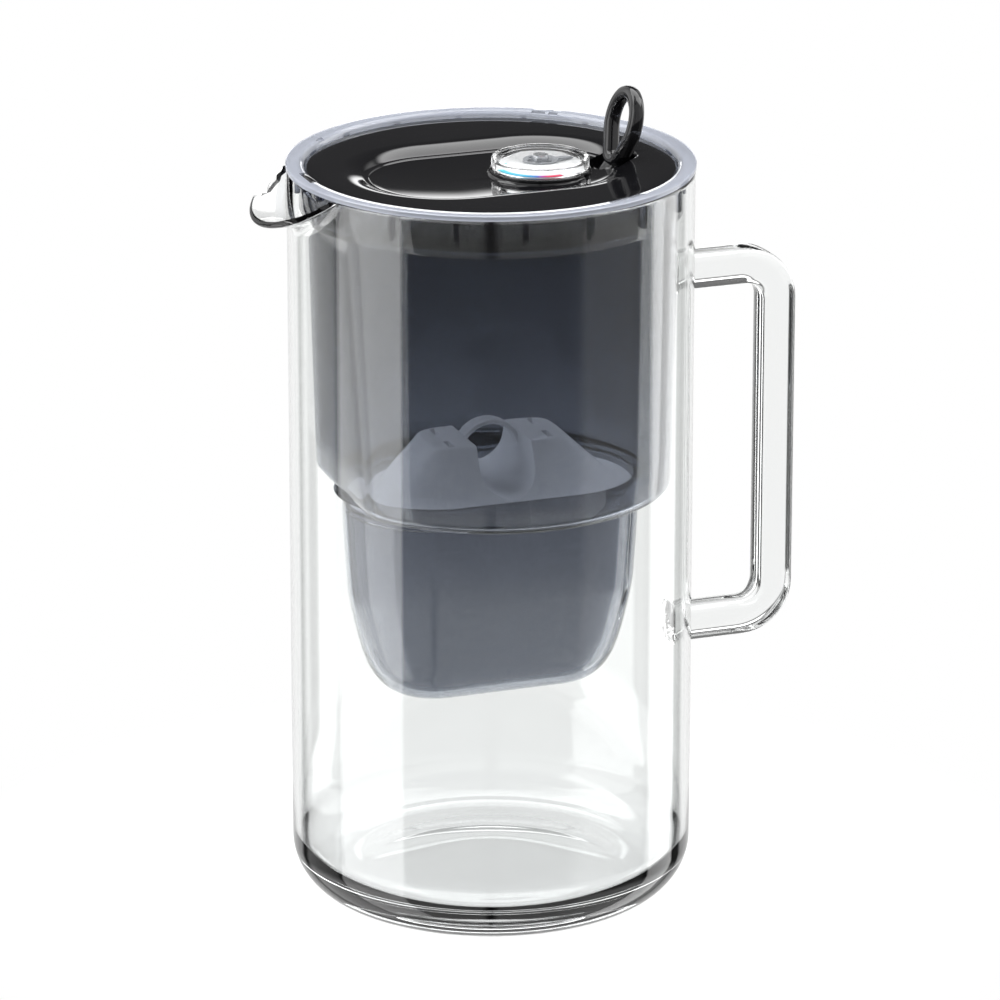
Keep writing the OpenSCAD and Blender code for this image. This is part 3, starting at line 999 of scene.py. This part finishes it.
    def bar_ring(self, x: float, z: float, lean: float, scale: float = 1.0) -> list[Vector]:
        """Gives a section of the handle's bar.

        Args:
            x: The section's centre.
            z: The section's centre.
            lean: Direction of the bar's inner side, degrees from +X in the XZ plane.
            scale: Its size against the plain bar.

        Returns:
            The section's points in metres.
        """
        half, edge = self.bar / 2 * scale, self.bar_edge * scale
        inner = Vector((math.cos(math.radians(lean)), 0.0, math.sin(math.radians(lean))))
        points = []
        for corner, (cx, cy) in enumerate(((1, 1), (-1, 1), (-1, -1), (1, -1))):
            for i in range(6):
                turn = math.radians(90 * corner + 18 * i)
                u = cx * (half - edge) + edge * math.cos(turn)
                v = cy * (half - edge) + edge * math.sin(turn)
                points.append((Vector((x, 0.0, z)) + u * inner + Vector((0.0, v, 0.0))) * MM)
        return points

    def turn_bar(self, loft: Loft, middle: float, start: float) -> None:
        """Takes the bar round one quarter bend.

        Args:
            loft: The bar so far.
            middle: Height of the bend's centre.
            start: The bend's first angle in degrees.
        """
        for i in range(self.bend_steps + 1):
            turn = start - 90.0 / self.bend_steps * i
            a = math.radians(turn)
            x = self.bar_x - self.bend + self.bend * math.cos(a)
            loft.to(self.bar_ring(x, middle + self.bend * math.sin(a), turn - 180))

    def handle(self) -> bpy.types.Object:
        """Builds the bent square bar, with its roots a little spread where they melt into the body.

        Returns:
            The mesh object.
        """
        spread = ((-1.5, 1.16), (0.2, 1.16), (0.9, 1.07), (2.0, 1.02), (3.5, 1.0))
        first, widest = spread[0]
        loft = Loft("handle_bar", self.bar_ring(self.radius + first, self.arm_top, -90, widest))
        for step, scale in spread[1:]:
            loft.to(self.bar_ring(self.radius + step, self.arm_top, -90, scale))
        self.turn_bar(loft, self.arm_top - self.bend, 90)
        loft.to(self.bar_ring(self.bar_x, (self.arm_top + self.arm_low) / 2, -180))
        self.turn_bar(loft, self.arm_low + self.bend, 0)
        for step, scale in reversed(spread):
            loft.to(self.bar_ring(self.radius + step, self.arm_low, -270, scale))
        return loft.cap()

    def build(self, palette: Palette) -> None:
        """Builds the glass and dresses it.

        Args:
            palette: The materials.
        """
        glass = self.body()
        combine(glass, self.handle(), "UNION")
        soften(glass, 0.0, angle=40.0)
        settle(palette, glass, Slot.GLASS, Body.JUG, "jug_glass", "handle")


# The hopper


@dataclass
class Cup:
    """The oval cup's outline: how its round ends shrink from the mouth to the bottom."""

    shift: float = 21.0
    lift_from: float = 111.0
    lift_span: float = 36.0
    least: float = 3.0
    rows: tuple[tuple[float, float], ...] = (
        (146.0, 32.0), (136.0, 31.6), (125.0, 31.0), (114.0, 30.3), (111.0, 30.0),
        (106.0, 29.1), (100.0, 27.8),
        (95.0, 26.6), (90.5, 25.4), (89.5, 25.0), (86.0, 23.8), (82.5, 22.0), (80.0, 20.2), (78.0, 18.2),
        (76.5, 16.0), (75.4, 13.2), (75.0, 10.5),
    )

    def sections(self, inset: float, rise: float, low: float, high: float) -> list[Section]:
        """Gives the cup's rings from its mouth down.

        Args:
            inset: Distance inside the outer skin.
            rise: How much higher the bottom lies.
            low: Rings lower than this are left out.
            high: Rings higher than this are left out.

        Returns:
            The rings, highest first.
        """
        found = []
        for z, radius in self.rows:
            share = max(0.0, min(1.0, (self.lift_from - z) / self.lift_span))
            lifted = z + rise * share
            if low <= lifted <= high:
                found.append(Section(lifted, max(self.least, radius - inset), self.shift))
        return found


@dataclass
class Hopper:
    """The smoked hopper: a flange on the glass rim, a neck for the lid, a draughted wall with a
    flat side for the pouring channel, and the cup for the cartridge."""

    cup: Cup = field(default_factory=Cup)
    flange: float = 70.35
    neck_out: float = 65.9
    neck_in: float = 64.0
    ledge: float = 250.0
    low: float = 149.0
    wall: float = 1.8
    corner_z: float = 153.0
    corner_out: float = 4.0
    corner_in: float = 2.2
    rib_count: int = 18
    rim_notches: tuple[tuple[float, float], ...] = ((49.0, 52.0), (53.0, 57.5), (133.5, 137.5))
    notch_radius: float = 65.0
    hinge_half: float = 6.3
    ear_end: float = 11.8

    def wall_ring(self, z: float, inset: float, shrink: float = 0.0) -> Section:
        """Gives a ring of the draughted wall.

        Args:
            z: Its height.
            inset: Distance inside the outer skin.
            shrink: How much a rounded corner draws it in.

        Returns:
            The ring.
        """
        share = (self.ledge - z) / (self.ledge - self.low)
        radius = 64.2 - 1.3 * share - inset - shrink
        flat = 59.0 - 4.4 * share - inset - shrink
        return Section(z, radius, flat=flat)

    def corner(self, angles: Iterable[float], inset: float, radius: float) -> list[Section]:
        """Gives the rings of the rounded corner under the wall.

        Args:
            angles: The rings' places on the rounding in degrees.
            inset: Distance inside the outer skin.
            radius: The rounding's radius.

        Returns:
            The rings.
        """
        found = []
        for angle in angles:
            a = math.radians(angle)
            drop, shrink = radius * math.sin(a), radius * (1 - math.cos(a))
            found.append(self.wall_ring(self.corner_z - drop, inset, shrink))
        return found

    def shell(self) -> bpy.types.Object:
        """Builds the hopper as one closed wall from flange to drain and back.

        Returns:
            The mesh object.
        """
        shift = self.cup.shift
        down = stack((
            (262.4, self.neck_in), (262.9, 64.35), (263.55, 65.0), (263.8, 65.5), (263.8, 69.7),
            (263.7, 70.1), (263.5, 70.3), (263.2, self.flange), (262.2, self.flange),
            (262.02, 70.2), (262.02, 66.6), (261.8, 66.05), (261.2, self.neck_out),
            (248.5, self.neck_out), (248.1, 65.7), (248.0, 65.2),
        ))
        down += [self.wall_ring(248.0, -0.4), self.wall_ring(247.5, 0.0)]
        down += [self.wall_ring(z, 0.0) for z in (240, 225, 205, 185, 165, self.corner_z)]
        down += self.corner((22.5, 45.0, 67.5, 90.0), 0.0, self.corner_out)
        down += stack(((149.0, 34.6), (148.9, 33.4), (148.3, 32.5), (147.4, 32.1)), shift)
        down += self.cup.sections(0.0, 0.0, 70.0, 147.0)
        down += stack(((74.95, 8.0),), 12.0)
        down += stack(
            ((74.9, 5.4), (74.7, 4.9), (73.3, 4.85), (73.0, 4.5), (73.0, 3.8), (73.3, 3.4))
        )
        up = stack(((76.3, 3.4), (76.7, 3.9), (76.85, 5.5))) + stack(((76.85, 7.0),), 12.0)
        up += list(reversed(self.cup.sections(self.wall, self.wall, 76.0, 141.5)))
        up += stack((
            (142.3, 30.1), (142.5, 28.9), (142.8, 28.6), (144.2, 28.6), (144.5, 28.9),
            (144.5, 30.2), (144.8, 30.4), (150.2, 30.4), (150.8, 31.2),
        ), shift)
        up += self.corner((90.0, 60.0, 30.0, 0.0), self.wall, self.corner_in)
        up += [self.wall_ring(z, self.wall) for z in (165, 185, 205, 225, 240, 247.7)]
        for z, step in ((248.0, 0.3), (248.4, 1.0), (249.7, 1.0), (250.0, 0.7)):
            up.append(self.wall_ring(z, self.wall + step))
        up += stack(((250.0, 63.6), (250.4, self.neck_in)))
        return loft_sections("hopper_shell", down + up, 224, True)

    def build(self, palette: Palette) -> None:
        """Builds the hopper, cuts the lid's hinge notch and dresses it.

        Args:
            palette: The materials.
        """
        shell = self.shell()
        half = self.hinge_half
        combine(shell, block("notch", (-67.2, -half, 257.0), (-61.0, half, 266.0)), "DIFFERENCE")
        for low, high in self.rim_notches:
            notch = block("notch", (63.0, -1.0, 262.9), (65.9, 1.0, 265.0))
            width = math.radians(high - low) * self.notch_radius
            notch.data.transform(Matrix.Diagonal((1.0, width / 2.0, 1.0, 1.0)))
            notch.data.transform(Matrix.Rotation(math.radians((low + high) / 2), 4, "Z"))
            combine(shell, notch, "DIFFERENCE")
        soften(shell, 0.0, angle=38.0)
        settle(palette, shell, Slot.SMOKE, Body.HOPPER, "hopper")
        rib = block("rib", (65.7, -0.8, 252.0), (67.3, 0.8, 261.95))
        soften(rib, 0.3)
        step = 360.0 / self.rib_count
        angles = [180 + step * i for i in range(1, self.rib_count)]
        ribs = gather("hopper_ribs", round_copies(rib, angles))
        settle(palette, ribs, Slot.SMOKE, Body.HOPPER)
        ears = []
        for side in (-1, 1):
            near, far = sorted((side * half, side * self.ear_end))
            ear = block("ear", (-66.9, near, 258.4), (-64.1, far, 261.95))
            soften(ear, 0.4)
            ears.append(ear)
        hinge_ears = gather("hinge_ears", ears)
        settle(palette, hinge_ears, Slot.SMOKE, Body.HOPPER)


# The lid


@dataclass
class Lid:
    """The black lid: a flat band, a long rounded recess, a socket for the loop and a deep edge."""

    radius: float = 63.4
    top: float = 261.8
    skirt: float = 62.4
    skirt_low: float = 250.0
    recess_shift: float = 16.0
    recess_floor: float = 257.4
    recess_dish: float = 1.3
    floor_half: float = 26.0
    step_half: float = 28.4
    step_rise: float = 1.9
    crest_half: float = 37.5
    socket_x: float = 44.0
    socket_radius: float = 8.6
    socket_floor: float = 254.0
    plinth_x: float = 18.0
    guide_angle: float = 56.0
    rollover: float = 1.9
    rollover_steps: int = 14

    def cover(self) -> bpy.types.Object:
        """Builds the lid's shell as one closed wall.

        Returns:
            The mesh object.
        """
        floor, low = self.recess_floor, self.recess_floor + self.recess_dish
        rows = [(floor + self.recess_dish * share**2, self.floor_half * share)
                for share in (0.08, 0.25, 0.4, 0.55, 0.7, 0.82, 0.92, 1.0)]
        rows += [
            (low + 0.12, 26.4), (low + 0.3, 26.75), (low + 0.42, 26.9), (low + 0.45, 27.5),
            (low + 0.47, 28.0), (low + 0.55, 28.25),
        ]
        depth, width = self.top - floor - self.step_rise, self.crest_half - self.step_half
        for i in range(self.rollover_steps + 1):
            share = i / self.rollover_steps
            z = self.top - depth * (1.0 - share) ** self.rollover
            rows.append((z, self.step_half + width * share))
        top, under, skirt, foot = self.top, self.top - 1.8, self.skirt, self.skirt_low
        rings = stack(rows, self.recess_shift)
        rings += stack((
            (top, 58.0), (top, 62.6), (top - 0.12, 63.1), (top - 0.45, self.radius),
            (top - 1.5, self.radius), (under, 63.2), (under, 62.7), (top - 2.0, skirt),
            (foot + 0.4, skirt), (foot, skirt - 0.4), (foot, 61.0), (foot + 0.4, 60.6),
            (top - 2.4, 60.6), (under, 60.0), (under, 55.0),
        ))
        rings += stack((
            (under, 33.6), (floor - 1.0, 31.0), (floor - 1.8, 30.0), (floor - 1.8, 15.0),
            (floor - 1.8, 2.0),
        ), self.recess_shift)
        return loft_sections("lid_cover_shell", rings, 224, False)

    def socket(self) -> bpy.types.Object:
        """Builds the cutter of the loop's round dimple.

        Returns:
            The mesh object.
        """
        low, top = self.socket_floor, self.top
        rows = (
            (low, 0.5), (low, 4.5), (low + 0.3, 6.2), (low + 1.2, 7.6), (low + 2.4, 8.2),
            (low + 4.0, 8.5), (top - 0.8, 8.7), (top - 0.3, 9.0), (top, 9.6), (top + 2.0, 9.7),
        )
        return loft_sections("dimple", stack(rows, centre=self.socket_x), 96, False)

    def build(self, palette: Palette) -> None:
        """Builds the lid and dresses it with what is fixed to it.

        Args:
            palette: The materials.
        """
        cover = self.cover()
        middle = (self.socket_x, 0.0, self.socket_floor + 1.2)
        combine(cover, rod("socket_wall", self.socket_radius + 1.8, 6.0, middle), "UNION")
        rows = (
            (256.5, 0.5), (256.5, 19.0), (257.3, 19.0), (257.7, 18.1), (258.1, 17.7),
            (258.4, 17.5), (258.4, 0.5),
        )
        plinth = loft_sections("plinth", stack(rows, centre=self.plinth_x), 96, False)
        combine(cover, plinth, "UNION")
        combine(cover, self.socket(), "DIFFERENCE")
        soften(cover, 0.0, angle=32.0)
        settle(palette, cover, Slot.BLACK, Body.LID, "lid_cover")
        knuckle = rod("knuckle", 1.7, 12.0, (-65.2, 0.0, 262.0), "Y")
        tongue = block("tongue", (-65.2, -6.0, 260.3), (-61.0, 6.0, 261.78))
        for piece in (knuckle, tongue):
            soften(piece, 0.3)
        lug = block("lug", (61.6, -4.0, 250.2), (63.05, 4.0, 260.3))
        soften(lug, 0.35)
        angles = [side * turn for side in (-1, 1) for turn in (self.guide_angle, 180 - self.guide_angle)]
        trim = gather("lid_hinge_and_guides", [knuckle, tongue, *round_copies(lug, angles)])
        settle(palette, trim, Slot.BLACK, Body.LID)


@dataclass
class FingerLoop:
    """The upright loop that lifts the lid: a slim drop-shaped ring on a round foot."""

    x: float = 44.0
    floor: float = 254.0
    lean: float = 14.5
    height: float = 31.0
    width: float = 25.0
    band: float = 5.0
    thick: float = 4.6
    small: float = 5.4
    small_height: float = 9.6
    squareness: float = 2.8
    root_gain: float = 0.25

    def line(self, steps: int) -> list[tuple[Vector, Vector]]:
        """Gives the ring's middle line.

        Args:
            steps: How many points.

        Returns:
            Pairs of point and outward direction, in the ring's own plane.
        """
        big = self.width / 2 - self.band / 2
        big_height = self.height - self.width / 2
        gap = big_height - self.small_height
        lean = math.asin((big - self.small) / gap)
        corners = (
            (big_height, big, -lean, math.pi + lean),
            (self.small_height, self.small, math.pi + lean, math.tau - lean),
        )
        points = []
        for centre, radius, start, end in corners:
            for i in range(steps // 2):
                a = start + (end - start) * i / (steps // 2 - 1)
                out = Vector((math.cos(a), math.sin(a)))
                points.append((Vector((0.0, centre)) + radius * out, out))
        return points

    def at(self, along: float, y: float, up: float) -> Vector:
        """Gives a point of the leaning loop.

        Args:
            along: Distance out of the ring's plane.
            y: Distance along Y.
            up: Distance up the ring's plane.

        Returns:
            The point in metres.
        """
        turn = Matrix.Rotation(math.radians(self.lean), 4, "Y")
        base = Vector((self.x, 0.0, self.floor + 1.0))
        return (base + turn @ Vector((along, y, up))) * MM

    def band_ring(self, point: Vector, out: Vector) -> list[Vector]:
        """Gives a rounded square section of the band, thicker towards the foot.

        Args:
            point: The section's middle in the ring's plane.
            out: The outward direction in that plane.

        Returns:
            The section's points in metres.
        """
        power = 2.0 / self.squareness
        gain = 1.0 + self.root_gain - self.root_gain * point.y / self.height
        found = []
        for a in turns(20):
            c, s = math.cos(a), math.sin(a)
            u = self.band / 2 * math.copysign(abs(c) ** power, c)
            v = self.thick / 2 * math.copysign(abs(s) ** power, s) * gain
            found.append(self.at(v, point.x + u * out.x, point.y + u * out.y))
        return found

    def stem(self) -> bpy.types.Object:
        """Builds the oval stem between foot and ring.

        Returns:
            The mesh object.
        """
        rings = []
        for up, wide, deep in (
            (-1.2, 5.4, 5.0), (0.6, 5.3, 4.7), (2.0, 5.4, 3.6), (3.6, 5.9, 2.6), (5.2, 6.2, 2.0),
            (6.4, 5.9, 1.7),
        ):
            rings.append([self.at(deep * math.cos(a), wide * math.sin(a), up) for a in turns(28)])
        loft = Loft("stem", rings[0])
        for ring in rings[1:]:
            loft.to(ring)
        return loft.cap()

    def build(self, palette: Palette) -> None:
        """Builds the loop and dresses it.

        Args:
            palette: The materials.
        """
        line = self.line(96)
        loft = Loft("finger_ring", self.band_ring(*line[0]))
        for point, out in line[1:]:
            loft.to(self.band_ring(point, out))
        band = loft.close()
        stem = self.stem()
        rows = (
            (254.0, 0.5), (254.0, 5.4), (254.4, 5.4), (254.9, 5.0), (255.6, 4.2), (256.6, 3.6),
            (257.2, 3.0), (257.4, 0.5),
        )
        foot = loft_sections("foot", stack(rows, centre=self.x), 64, False)
        for piece in (band, stem, foot):
            soften(piece, 0.0, angle=50.0)
        whole = gather("finger_loop_ring", [band, stem, foot])
        settle(palette, whole, Slot.BLACK, Body.LID, "finger_loop")


@dataclass
class Indicator:
    """The change indicator: a clear fluted cap over a white disc in a black seat."""

    x: float = 18.0
    radius: float = 16.8
    low: float = 259.8
    top: float = 263.6
    flutes: int = 4
    flute_step: float = 6.5
    grip: float = math.radians(20.0)
    count: int = 240

    def flute_ring(self, z: float, radius: float, depth: float, count: int) -> list[Vector]:
        """Gives a ring with shallow finger notches.

        Args:
            z: Its height.
            radius: Its radius between the notches.
            depth: The notches' depth.
            count: Points in the ring.

        Returns:
            The points in metres.
        """
        points = []
        for i in range(count):
            a = math.tau * (i + 0.5) / count
            double = 2 * (a + self.grip)
            beside = abs(math.degrees(math.atan2(math.sin(double), math.cos(double)))) / 2
            share = (beside / self.flute_step) % 1.0
            dip = max(0.0, 1.0 - ((share - 0.5) / 0.4) ** 2)
            if beside >= self.flutes * self.flute_step:
                dip = 0.0
            far = radius - depth * dip
            points.append(Vector((self.x + far * math.cos(a), far * math.sin(a), z)) * MM)
        return points

    def build(self, palette: Palette) -> None:
        """Builds the clear cap and the black seat and dresses them.

        Args:
            palette: The materials.
        """
        top, low, wide = self.top, self.low, self.radius
        rows = (
            (top, 2.4, 0.0), (top, 9.0, 0.0), (top - 0.1, 12.0, 0.0), (top, 14.6, 0.1),
            (top, 15.8, 0.4), (top - 0.15, 16.5, 0.6), (top - 0.5, wide, 0.7),
            (low + 0.3, wide, 0.7), (low, 16.5, 0.6), (low, 15.6, 0.0), (low + 0.2, 15.3, 0.0),
            (top - 1.5, 15.2, 0.0), (top - 1.2, 14.8, 0.0), (top - 1.2, 9.0, 0.0),
            (top - 1.2, 2.4, 0.0),
        )
        loft = Loft("clear_cap", self.flute_ring(*rows[0], self.count))
        for row in rows[1:]:
            loft.to(self.flute_ring(*row, self.count))
        cap = loft.close()
        soften(cap, 0.0, angle=38.0)
        settle(palette, cap, Slot.CLEAR, Body.DIAL, "dial_cap")
        rows = [(258.4, 2.0), (258.4, 17.0), (258.6, 17.3), (259.3, 17.3), (259.5, 17.0), (259.5, 2.0)]
        seat = loft_sections("dial_seat", stack(rows, centre=self.x), 96, True)
        soften(seat, 0.0, angle=40.0)
        settle(palette, seat, Slot.BLACK, Body.LID, "dial_base")


# The cartridge


@dataclass
class Cartridge:
    """The oval filter cartridge: a flanged cap with two slotted lugs and a finger trough, over a
    tapered shell."""

    cup: Cup = field(default_factory=Cup)
    cap_low: float = 145.3
    cap_top: float = 147.3
    trough_radius: float = 10.0
    trough_z: float = 158.8
    strap: float = 0.95
    strap_half: float = 3.4
    strap_y: float = 4.0
    gap: float = 3.9
    count: int = 160

    def rounded(self, z: float, half_x: float, half_y: float, power: float) -> list[Vector]:
        """Gives a ring between an oval and a rounded rectangle.

        Args:
            z: Its height.
            half_x: Half its length.
            half_y: Half its width.
            power: 2 gives an ellipse, larger values squarer corners.

        Returns:
            The points in metres.
        """
        points = []
        for i in range(self.count):
            a = math.tau * (i + 0.5) / self.count
            c, s = math.cos(a), math.sin(a)
            x = half_x * math.copysign(abs(c) ** (2 / power), c)
            y = half_y * math.copysign(abs(s) ** (2 / power), s)
            points.append(Vector((x, y, z)) * MM)
        return points

    def cap(self) -> bpy.types.Object:
        """Builds the cap with its trough and slots.

        Returns:
            The mesh object.
        """
        low, top = self.cap_low, self.cap_top
        rows = (
            (low, 2.0), (low, 29.5), (low + 0.4, 29.9), (top - 0.5, 29.9), (top - 0.1, 29.5),
            (top, 29.0), (top, 25.2), (top + 0.3, 24.3),
        )
        rings = [section.ring(self.count) for section in stack(rows, self.cup.shift)]
        for row in (
            (150.5, 41.2, 21.4, 2.3), (155.0, 36.3, 18.6, 2.8), (160.0, 30.9, 16.0, 3.4),
            (164.4, 26.2, 13.9, 4.4), (165.6, 25.0, 13.4, 4.8), (166.1, 24.2, 12.9, 5.0),
            (166.3, 23.2, 12.2, 5.2), (166.3, 8.0, 5.0, 4.0),
        ):
            rings.append(self.rounded(*row))
        loft = Loft("cap_body", rings[0])
        for ring in rings[1:]:
            loft.to(ring)
        body = loft.cap()
        wide, middle = self.trough_radius, self.trough_z
        combine(body, rod("trough", wide, 80.0, (0.0, 0.0, middle), "Y", 64), "DIFFERENCE")
        combine(body, block("mouth", (-wide, -40.0, middle), (wide, 40.0, 175.0)), "DIFFERENCE")
        for x in (-18.0, 18.0):
            for y in (-7.35, 7.35):
                slot = block("slot", (x - 1.1, y - 3.5, 158.0), (x + 1.1, y + 3.5, 170.0))
                combine(body, slot, "DIFFERENCE")
        soften(body, 0.45, segments=3, angle=40.0)
        return body

    def strap_ring(self, turn: float) -> list[Vector]:
        """Gives a section of the small arch.

        Args:
            turn: Its place on the arch in radians.

        Returns:
            The section's points in metres.
        """
        found = []
        for a in turns(24):
            c, s = math.cos(a), math.sin(a)
            u = self.strap * math.copysign(abs(c) ** 0.5, c)
            v = self.strap_half * math.copysign(abs(s) ** 0.5, s)
            far = self.trough_radius + self.strap + u
            x, z = far * math.cos(turn), self.trough_z + far * math.sin(turn)
            found.append(Vector((x, self.strap_y + v, z)) * MM)
        return found

    def carry_loop(self) -> bpy.types.Object:
        """Builds the small arch over the trough.

        Returns:
            The mesh object.
        """
        places = [math.radians(-8 + 196 * i / 40) for i in range(41)]
        loft = Loft("carry_loop", self.strap_ring(places[0]))
        for turn in places[1:]:
            loft.to(self.strap_ring(turn))
        loop = loft.cap()
        soften(loop, 0.0, angle=50.0)
        return loop

    def shell(self) -> bpy.types.Object:
        """Builds the tapered shell under the cap.

        Returns:
            The mesh object.
        """
        rings = stack(((145.25, 2.0), (145.25, 28.1)), self.cup.shift)
        rings += self.cup.sections(self.gap, 2.4, 77.0, 143.0)
        rings += stack(((77.4, 2.5),), 12.0)
        piece = loft_sections("cartridge_body", rings, self.count, False)
        soften(piece, 0.0, angle=45.0)
        return piece

    def build(self, palette: Palette) -> None:
        """Builds the cartridge and dresses it.

        Args:
            palette: The materials.
        """
        cap = gather("cartridge_top", [self.cap(), self.carry_loop()])
        settle(palette, cap, Slot.CARTRIDGE, Body.CARTRIDGE, "cartridge_cap")
        shell = self.shell()
        palette.dress(shell, Slot.CARTRIDGE)
        # The shell wears the darker material, which is painted shade.
        shell.data.materials[0] = palette.filled
        place(shell, Body.CARTRIDGE, "cartridge_shell")


@dataclass
class InnerPieces:
    """The small CAD nodes that stay as they are and only get their materials."""

    slots: dict[str, Slot] = field(default_factory=lambda: {
        "hinge_pin": Slot.STEEL,
        "lid_liner": Slot.INNER_BLACK,
        "liner_screws": Slot.STEEL,
        "loop_screw": Slot.STEEL,
        "scale_disc": Slot.WHITE,
        "scale_arc": Slot.PRINT,
        "pointer_wheel": Slot.GREY,
        "dial_pin": Slot.STEEL,
        "cartridge_seal": Slot.SILICONE,
        "upper_screen": Slot.FABRIC,
        "filter_bed": Slot.GRANULES,
        "lower_screen": Slot.FABRIC,
    })

    def build(self, palette: Palette) -> None:
        """Dresses the nodes.

        Args:
            palette: The materials.
        """
        for name, slot in self.slots.items():
            palette.dress(frame["nodes"][name], slot)


# The studio


@dataclass(frozen=True)
class SoftBox:
    """A lit patch of the studio's surroundings, placed by its direction from the jug."""

    low_turn: float
    high_turn: float
    low_rise: float
    high_rise: float
    light: float
    edge: float = 4.0
    both_sides: bool = False


@dataclass
class Studio:
    """Pale floor, soft studio light and the camera at the photograph's angle."""

    azimuth: float = -20.0
    elevation: float = 18.52
    distance: float = 2.2778
    target_z: float = 0.1412
    lens: float = 235.8
    shift: float = 0.009
    sensor: float = 36.0
    base_light: float = 0.07
    rise_edge: float = 6.0
    floor_radius: float = 12.0
    floor_grey: float = 0.84
    fade: tuple[float, float] = (0.075, 0.2)
    boxes: tuple[SoftBox, ...] = (
        SoftBox(-98.0, -51.5, -65.0, 48.0, 2.1, 1.5),
        SoftBox(-138.0, -97.0, -65.0, 48.0, 0.5, 6.0),
        SoftBox(103.0, 132.0, -65.0, 48.0, 2.4, 3.0),
        SoftBox(50.0, 103.0, -65.0, 48.0, 0.22, 8.0),
        SoftBox(140.0, 200.0, -90.0, -3.0, 0.9, 6.0, True),
        SoftBox(118.0, 164.0, -6.0, 38.0, 0.7, 6.0, True),
        SoftBox(164.0, 200.0, -4.0, 11.0, 2.6, 3.0, True),
        SoftBox(0.0, 144.0, -90.0, -24.0, 0.95, 8.0, True),
        SoftBox(0.0, 128.0, 8.0, 74.0, 0.7, 8.0, True),
        SoftBox(85.0, 200.0, 36.0, 78.0, 3.6, 5.0, True),
        SoftBox(0.0, 200.0, 74.0, 100.0, 0.8, 6.0, True),
    )

    def back(self) -> Vector:
        """Gives the direction from the jug to the camera.

        Returns:
            A unit vector.
        """
        a, e = math.radians(self.azimuth), math.radians(self.elevation)
        return Vector((math.sin(a) * math.cos(e), -math.cos(a) * math.cos(e), math.sin(e)))

    def camera(self) -> None:
        """Makes the camera."""
        data = bpy.data.cameras.new("camera")
        data.lens, data.sensor_width, data.shift_x = self.lens, self.sensor, self.shift
        data.clip_start, data.clip_end = 0.05, 50.0
        camera = bpy.data.objects.new("camera", data)
        bpy.context.scene.collection.objects.link(camera)
        camera.location = Vector((0.0, 0.0, self.target_z)) + self.back() * self.distance
        camera.rotation_mode = "QUATERNION"
        camera.rotation_quaternion = (-self.back()).to_track_quat("-Z", "Y")
        bpy.context.scene.camera = camera

    def floor(self) -> None:
        """Makes the floor, which turns to plain white away from the jug."""
        deselect()
        bpy.ops.mesh.primitive_circle_add(
            vertices=96, radius=self.floor_radius, fill_type="NGON"
        )
        floor = bpy.context.object
        floor.name = "floor"
        material = bpy.data.materials.new("floor")
        graph = Graph(material)
        place_node = graph.add("ShaderNodeTexCoord")
        length = graph.add("ShaderNodeVectorMath", operation="LENGTH")
        graph.join(place_node.outputs["Object"], length.inputs[0])
        fade = graph.scaled(length.outputs["Value"], *self.fade, interpolation_type="SMOOTHSTEP")
        lit = graph.add("ShaderNodeBsdfDiffuse", Color=(*[self.floor_grey] * 3, 1.0))
        plain = graph.add("ShaderNodeEmission", Color=WHITE, Strength=1.0)
        path = graph.add("ShaderNodeLightPath")
        clear = graph.add("ShaderNodeBsdfTransparent")
        graph.show(graph.mix(path.outputs["Is Glossy Ray"], graph.mix(fade, lit, plain), clear))
        floor.data.materials.append(material)

    def world(self) -> None:
        """Makes the surroundings: white to the camera, soft boxes on a dark ground to the rest."""
        world = bpy.data.worlds.new("studio")
        bpy.context.scene.world = world
        graph = Graph(world)
        a = math.radians(self.azimuth)
        coordinates = graph.add("ShaderNodeTexCoord")
        axes = []
        for axis in ((math.cos(a), math.sin(a), 0.0), (math.sin(a), -math.cos(a), 0.0)):
            dot = graph.add("ShaderNodeVectorMath", operation="DOT_PRODUCT")
            graph.join(coordinates.outputs["Generated"], dot.inputs[0])
            dot.inputs[1].default_value = axis
            axes.append(dot.outputs["Value"])
        turn = graph.math("DEGREES", graph.math("ARCTAN2", axes[0], axes[1]))
        apart = graph.math("ABSOLUTE", turn)
        parts = graph.add("ShaderNodeSeparateXYZ")
        graph.join(coordinates.outputs["Generated"], parts.inputs[0])
        rise = graph.math("DEGREES", graph.math("ARCSINE", parts.outputs["Z"]))
        light: bpy.types.NodeSocket | float = self.base_light
        for box in self.boxes:
            around_jug = apart if box.both_sides else turn
            across = graph.window(around_jug, box.low_turn, box.high_turn, box.edge)
            up = graph.window(rise, box.low_rise, box.high_rise, self.rise_edge)
            patch = graph.math("MULTIPLY", graph.math("MULTIPLY", across, up), box.light)
            light = graph.math("ADD", light, patch)
        around = graph.add("ShaderNodeBackground", Color=WHITE)
        graph.join(light, around.inputs["Strength"])
        white = graph.add("ShaderNodeBackground", Color=WHITE, Strength=1.0)
        path = graph.add("ShaderNodeLightPath")
        graph.show(graph.mix(path.outputs["Is Camera Ray"], around, white), "ShaderNodeOutputWorld")

    def build(self) -> None:
        """Makes the camera, floor and surroundings."""
        bpy.context.scene.view_settings.view_transform = "Standard"
        self.camera()
        self.floor()
        self.world()


def main() -> None:
    """Builds the whole scene."""
    logging.basicConfig(level=logging.INFO, format="%(message)s")
    palette = Palette().build()
    parts: list[Callable[[Palette], None]] = [
        GlassJug().build, Hopper().build, Lid().build, FingerLoop().build, Indicator().build,
        Cartridge().build, InnerPieces().build,
    ]
    for part in parts:
        part(palette)
    Studio().build()


if __name__ == "__main__":
    main()
